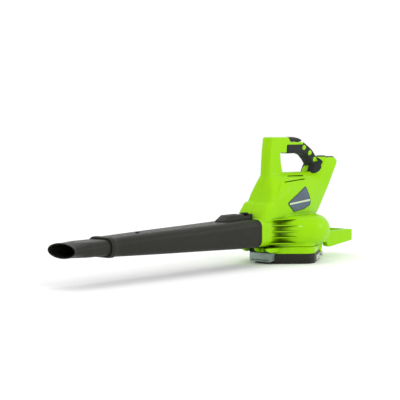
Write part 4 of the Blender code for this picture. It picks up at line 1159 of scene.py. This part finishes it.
def upper_tube():
    rear, *section = first = TUBE[0]
    rings = [tube_ring(rear - back, *section, grow) for back, grow in TUBE_COLLAR]
    rings += [tube_ring(*row) for row in [(-200, 49.0, 37.3, 20), *eased_rows(TUBE[1:], 8)]]
    rings += [tube_ring(x, *TUBE[-1][1:], grow) for x, grow in TUBE_BAND]
    rings += [tube_ring(*row, -2.5) for row in reversed([first, *eased_rows(TUBE[1:4], 6)])]
    tube = loft(rings, "joined")
    ramp = [
        (-164, 120, 0), (-164, 140.0, 2), (-178, 140.0, 2), (-178, 135.5, 1),
        (-199, 135.5, 1), (-201, 140.0, 2), (-257, 139.5, 12), (-281, 125.5, 2),
        (-281, 117, 0),
    ]
    inside = loft([tube_ring(*row, -1.0) for row in TUBE[:4]])
    tube = add(tube, cut(slab(ramp, 17, 2.2), inside))
    ridge = [(-250, 138.9, 0.4), (-210, 138.9, 0.4), (-210, 140.6, 0.4), (-250, 140.3, 0.4)]
    for y in (-8, 0, 8):
        tube = add(tube, plate([round_corners(ridge, 3)], y - 1, y + 1, "Y", 0.3))
    release_space = box((-179.5, -6.3, 130.5), (-163.9, 6.3, 150))
    lock_hole = rod(6.0, 100, 130, (LOCK_BUTTON_X, 0, 0))
    tube = cut(tube, release_space, cross_rod(1.4, 12, RELEASE_PIVOT), lock_hole)
    piece("upper_tube_shell", tube, "tube", ["upper_tube"], "charcoal_shell", smooth=30)


def tube_release():
    outline = [
        (-168.5, 134.3, 2), (-168.0, 140.4, 3), (-172, 143.4, 3), (-191, 142.6, 1),
        (-191.5, 140.8, 1), (-181.5, 140.5, 0), (-177.3, 140.3, 0), (-174.5, 134.3, 2),
    ]
    wing = [(-184, 140.6, 0.3), (-191, 140.8, 0.3), (-191.5, 142.6, 0.3), (-184, 142.9, 0.3)]
    tops = [(-176 - 2.6 * k, 0, 143.1 - 0.11 * k) for k in range(5)]
    ridges = [cross_rod(0.5, 5, top, 0.2, 12) for top in tops]
    lever = add(slab(outline, 5.9, 0.5), slab(wing, 9, 0.3, 3), *ridges)
    lever = cut(lever, cross_rod(1.5, 12, RELEASE_PIVOT))
    piece("tube_release_lever", lever, "release", ["tube_release"], "control_black")
    pin_bar("release_pin", "tube", 1.1, 11.5, RELEASE_PIVOT)


def nozzle():
    """The front tube, with a rolled rim round its mouth."""
    rear = NOZZLE[0]
    straight = [row for row in eased_rows(NOZZLE[1:], 6) if row[0] > FLARE[0]]
    x, half_width, half_height = MOUTH
    flare = []
    for k in range(1, 13):
        t = k / 12
        ends = zip(FLARE, (x + RIM_DEPTH, half_width, half_height))
        flare.append(([a + (b - a) * t for a, b in ends], t * t * (3 - 2 * t)))
    rings = [tube_ring(*rear, -0.4), tube_ring(rear[0] - 0.8, *rear[1:])]
    rings += [tube_ring(*row) for row in straight]
    rings += [oval_ring(*row, 0.0, share) for row, share in flare]
    rings += [oval_ring(x + back, half_width, half_height, grow) for back, grow in RIM]
    rings += [oval_ring(*row, -NOZZLE_WALL, share) for row, share in reversed(flare)]
    rings += [tube_ring(*row, -NOZZLE_WALL) for row in [*reversed(straight), rear]]
    tube = loft(rings, "joined")
    piece("nozzle_tube_shell", tube, "nozzle", ["nozzle_tube"], "charcoal_shell", smooth=30)
    profile = [(0, 117.4), (2.6, 117.2), (4.2, 116.7), (5.2, 115.9), (5.6, 114.8)]
    profile += [(5.6, 109.5), (0, 109.5)]
    button = turned(profile, (LOCK_BUTTON_X, 0, 0), steps=48)
    piece("nozzle_lock_button_cap", button, "nozzle_lock", ["nozzle_lock_button"], "control_black")


def rear_handle():
    outer = mirrored([(100, -50, 0), (264, -50, 18)])
    inner = mirrored([(90, -33.5, 0), (246, -33.5, 12)])
    profile = [
        (104, 47, 0), (128, 46, 3), (132, 33.5, 4), (142, 31, 6), (264.5, 45, 5),
        (264.5, 74.5, 3), (250, 76, 6), (104, 76, 0),
    ]
    hoop = plate([round_corners(outer)], 20, 80)
    hoop = keep(hoop, slab(profile, 60))
    hoop = cut(hoop, plate([round_corners(inner)], 0, 100))
    hoop = moulded_shape([hoop], voxel=1.1, rounds=8)
    hoop = cut(hoop, scroll(GAP), box((60, -60, 20), (104.3, 60, 90)))
    piece("rear_handle_shell", hoop, "housing", ["rear_handle"], "green_shell")


# The battery


def battery():
    back = BAY_BACK - BAY_PLAY
    front = BAY_BACK - BAY_DEPTH + BAY_PLAY
    low_front, low_back = bay_point(front, PACK_FLOOR), bay_point(back, PACK_FLOOR)

    def at(across, z):
        """(x, z) of the place at height z on the bay's line that far across."""
        return (across + z * math.sin(BAY_TILT)) / math.cos(BAY_TILT), z

    corners = [
        (*low_front, 3), (*low_back, 3),
        (*at(back, 272), 8),
        (194, 281.5, 8),
        (181, 289.6, 8),
        (at(front, 289.6)[0] + math.tan(BAY_TILT), 289.6, 2),
    ]
    pack = slab(corners, BAY_HALF - BAY_PLAY, 2.6)
    pocket = plate([round_corners(rectangle(156, -11.4, 174.4, 11.4, 2))], 286.1, 300)
    grooves = [box((128 + 5 * k, -24, 288.9), (130 + 5 * k, 24, 292)) for k in range(5)]
    pack = cut(pack, pocket, *grooves)
    piece("battery_pack_case", pack, "battery", ["battery_pack"], "battery_black")
    button = plate([round_corners(rectangle(156.4, -11, 174, 11, 2))], 287.4, 291.2, "Z", 0.8)
    ridges = [cross_rod(0.7, 8, (161 + 2.8 * k, 0, 291.0), 0.3, 12) for k in range(4)]
    button = add(button, *ridges)
    piece("battery_button_cap", button, "pack_button", ["battery_button"], "control_black")


# The motor, the fan and the wiring

STATOR_TEETH = 12
BLADES = 9


def ring_profile(outer, inner, low, high):
    """The profile (radius, height) of a plain ring."""
    return [(outer, high), (outer, low), (inner, low), (inner, high)]


def cup_profile(radius, low, ledge, top, rim):
    """The profile (radius, height) of a disc that carries a bearing in a raised seat."""
    disc = [(radius, top), (radius, low), (9, low), (9, ledge)]
    return disc + [(11.3, ledge), (11.3, rim), (14.5, rim), (14.5, top)]


def motor():
    """The motor's turned parts, its wound stator, the shaft and the fan's nut."""
    ring_parts = [
        ("motor_mount", cup_profile(44, 131.3, 132.6, 134.3, 140), "motor_alloy"),
        ("motor_end_cap", cup_profile(38, 186.3, 187.5, 189.5, 196), "motor_alloy"),
        ("lower_bearing", ring_profile(11, 4.3, 133, 140), "steel"),
        ("upper_bearing", ring_profile(11, 4.3, 188, 195), "steel"),
        ("motor_can", ring_profile(38, 36, 134.6, 186), "steel"),
        ("motor_rotor", ring_profile(21, 4.3, 143, 181), "rotor_steel"),
    ]
    for name, profile, slot in ring_parts:
        corners = [(*point, 0.4) for point in profile]
        body_name = "fan" if name == "motor_rotor" else "housing"
        made = turned(round_corners(corners, 3), steps=96)
        piece(f"{name}_turned", made, body_name, [name], slot)
    stator = turned(ring_profile(35.7, 30, 142, 182), steps=96)
    tooth = plate([round_corners(rectangle(21.5, -3.4, 31, 3.4, 0))], 144, 180, "Z", 1.2)
    for k in range(STATOR_TEETH):
        stator = add(stator, moved(tooth, Matrix.Rotation(2 * math.pi * k / STATOR_TEETH, 4, "Z")))
    piece("motor_stator_wound", stator, "housing", ["motor_stator"], "copper_winding")
    piece("motor_shaft_bar", rod(4, 58, 199, edge=0.6), "fan", ["motor_shaft"], "steel")
    nut = cut(rod(7, 63, 69.7, steps=6), rod(4.3, 55, 75))
    eased = [(0, 63), (6.2, 63), (7.1, 64), (7.1, 68.7), (6.2, 69.7), (0, 69.7)]
    nut = keep(nut, turned(eased, steps=64))
    piece("fan_nut_hex", nut, "fan", ["fan_nut"], "steel")


def blade_outline(count=14):
    """A blade that sweeps back as it goes out, 2.4 mm thick."""
    inner, outer, sweep, half = 34.0, 82.0, math.radians(34), 1.2
    middle = []
    for k in range(count):
        t = k / (count - 1)
        radius = inner + (outer - inner) * t
        middle.append(Vector((radius * math.cos(sweep * t), radius * math.sin(sweep * t))))
    left, right = [], []
    for i, point in enumerate(middle):
        along = (middle[min(i + 1, count - 1)] - middle[max(i - 1, 0)]).normalized()
        normal = Vector((-along.y, along.x)) * half
        left.append(point + normal)
        right.append(point - normal)
    return right + left[::-1]


def impeller():
    profile = [
        (12, 111, 1), (84, 111, 0.8), (84, 108.4, 0.8), (34, 108.2, 8), (20, 98, 6),
        (12, 72, 3), (12, 70, 0), (4.3, 70, 0.3), (4.3, 111, 0.3),
    ]
    wheel = turned(round_corners(profile, 5), steps=144)
    blade = plate([blade_outline()], 62, 109.5, "Z", 0.5)
    for k in range(BLADES):
        wheel = add(wheel, moved(blade, Matrix.Rotation(2 * math.pi * k / BLADES, 4, "Z")))
    piece("impeller_wheel", wheel, "fan", ["impeller"], "charcoal_shell")


def kept_nodes():
    """The inner parts whose frame solids stay as they are, with eased edges and their finishes."""
    kept = (
        ("controller_board", "circuit_board"),
        ("switch_module", "control_black"),
        ("terminal_block", "control_black"),
        ("power_cable", "cable_red"),
        ("motor_cable", "cable_black"),
    )
    for name, look in kept:
        node = NODES[name]
        node.data.materials.clear()
        node.data.materials.append(LOOKS[look])
        modifier = node.modifiers.new("edge", "BEVEL")
        modifier.width = 0.3 * MM
        modifier.segments = 2
        modifier.limit_method = "ANGLE"
        modifier.angle_limit = math.radians(50)


intake_ring()
inlet_door()
hinge()
door_latch()
upper_tube()
tube_release()
nozzle()
rear_handle()
battery()
motor()
impeller()
kept_nodes()


# Floor, light and camera

FLOOR_GAP = 0.0005
LIGHT_TARGET = (-0.2, 0, 0.15)
CAMERA_TARGET = (-0.357, 0.0, 0.184)


def stage():
    work = bmesh.new()
    bmesh.ops.create_grid(work, x_segments=1, y_segments=1, size=300.0)
    mesh = as_mesh("floor", work)
    mat, nodes, links, shader = shader_material("floor", 0.95)
    tone = spread(nodes, links, noise(nodes, links, 3.0), 0.0, 1.0)
    base = mixed(nodes, links, tone, (0.95, 0.95, 0.95), (0.965, 0.965, 0.965))
    links.new(base, shader.inputs["Base Color"])
    shader.inputs["Specular IOR Level"].default_value = 0.0
    mesh.materials.append(mat)
    floor = placed("floor", mesh)
    floor.location = (0, 0, -FLOOR_GAP)


def aimed(obj, location, target):
    """Put a lamp or camera at a place, looking at its target."""
    obj.location = location
    obj.rotation_mode = "QUATERNION"
    obj.rotation_quaternion = (target - location).to_track_quat("-Z", "Y")


def area_light(name, location, size, power):
    light = bpy.data.lights.new(name, "AREA")
    light.shape = "RECTANGLE"
    light.size, light.size_y = size
    light.energy = power
    aimed(placed(name, light), Vector(location), Vector(LIGHT_TARGET))


def lights():
    world = bpy.data.worlds.new("studio")
    bpy.context.scene.world = world
    world.use_nodes = True
    background = world.node_tree.nodes["Background"]
    background.inputs["Color"].default_value = (1.0, 1.0, 1.0, 1.0)
    background.inputs["Strength"].default_value = 1.04
    area_light("key", (-1.1, -2.6, 2.0), (0.45, 0.3), 15)
    area_light("fill", (1.8, -1.8, 1.0), (0.8, 0.8), 6)
    area_light("top", (-0.2, 0.4, 2.6), (1.6, 1.0), 6)


def camera():
    """The view: 48 degrees round to the left of straight ahead, 3 degrees up, 3 m away."""
    azimuth, elevation, distance = math.radians(-48.0), math.radians(3.2), 3.0
    target = Vector(CAMERA_TARGET)
    back = Vector(
        (
            math.sin(azimuth) * math.cos(elevation),
            -math.cos(azimuth) * math.cos(elevation),
            math.sin(elevation),
        )
    )
    data = bpy.data.cameras.new("camera")
    data.sensor_width = 36.0
    data.lens = 105.3
    obj = placed("camera", data)
    aimed(obj, target + back * distance, target)
    bpy.context.scene.camera = obj


stage()
lights()
camera()
bpy.context.scene.view_settings.view_transform = "Standard"
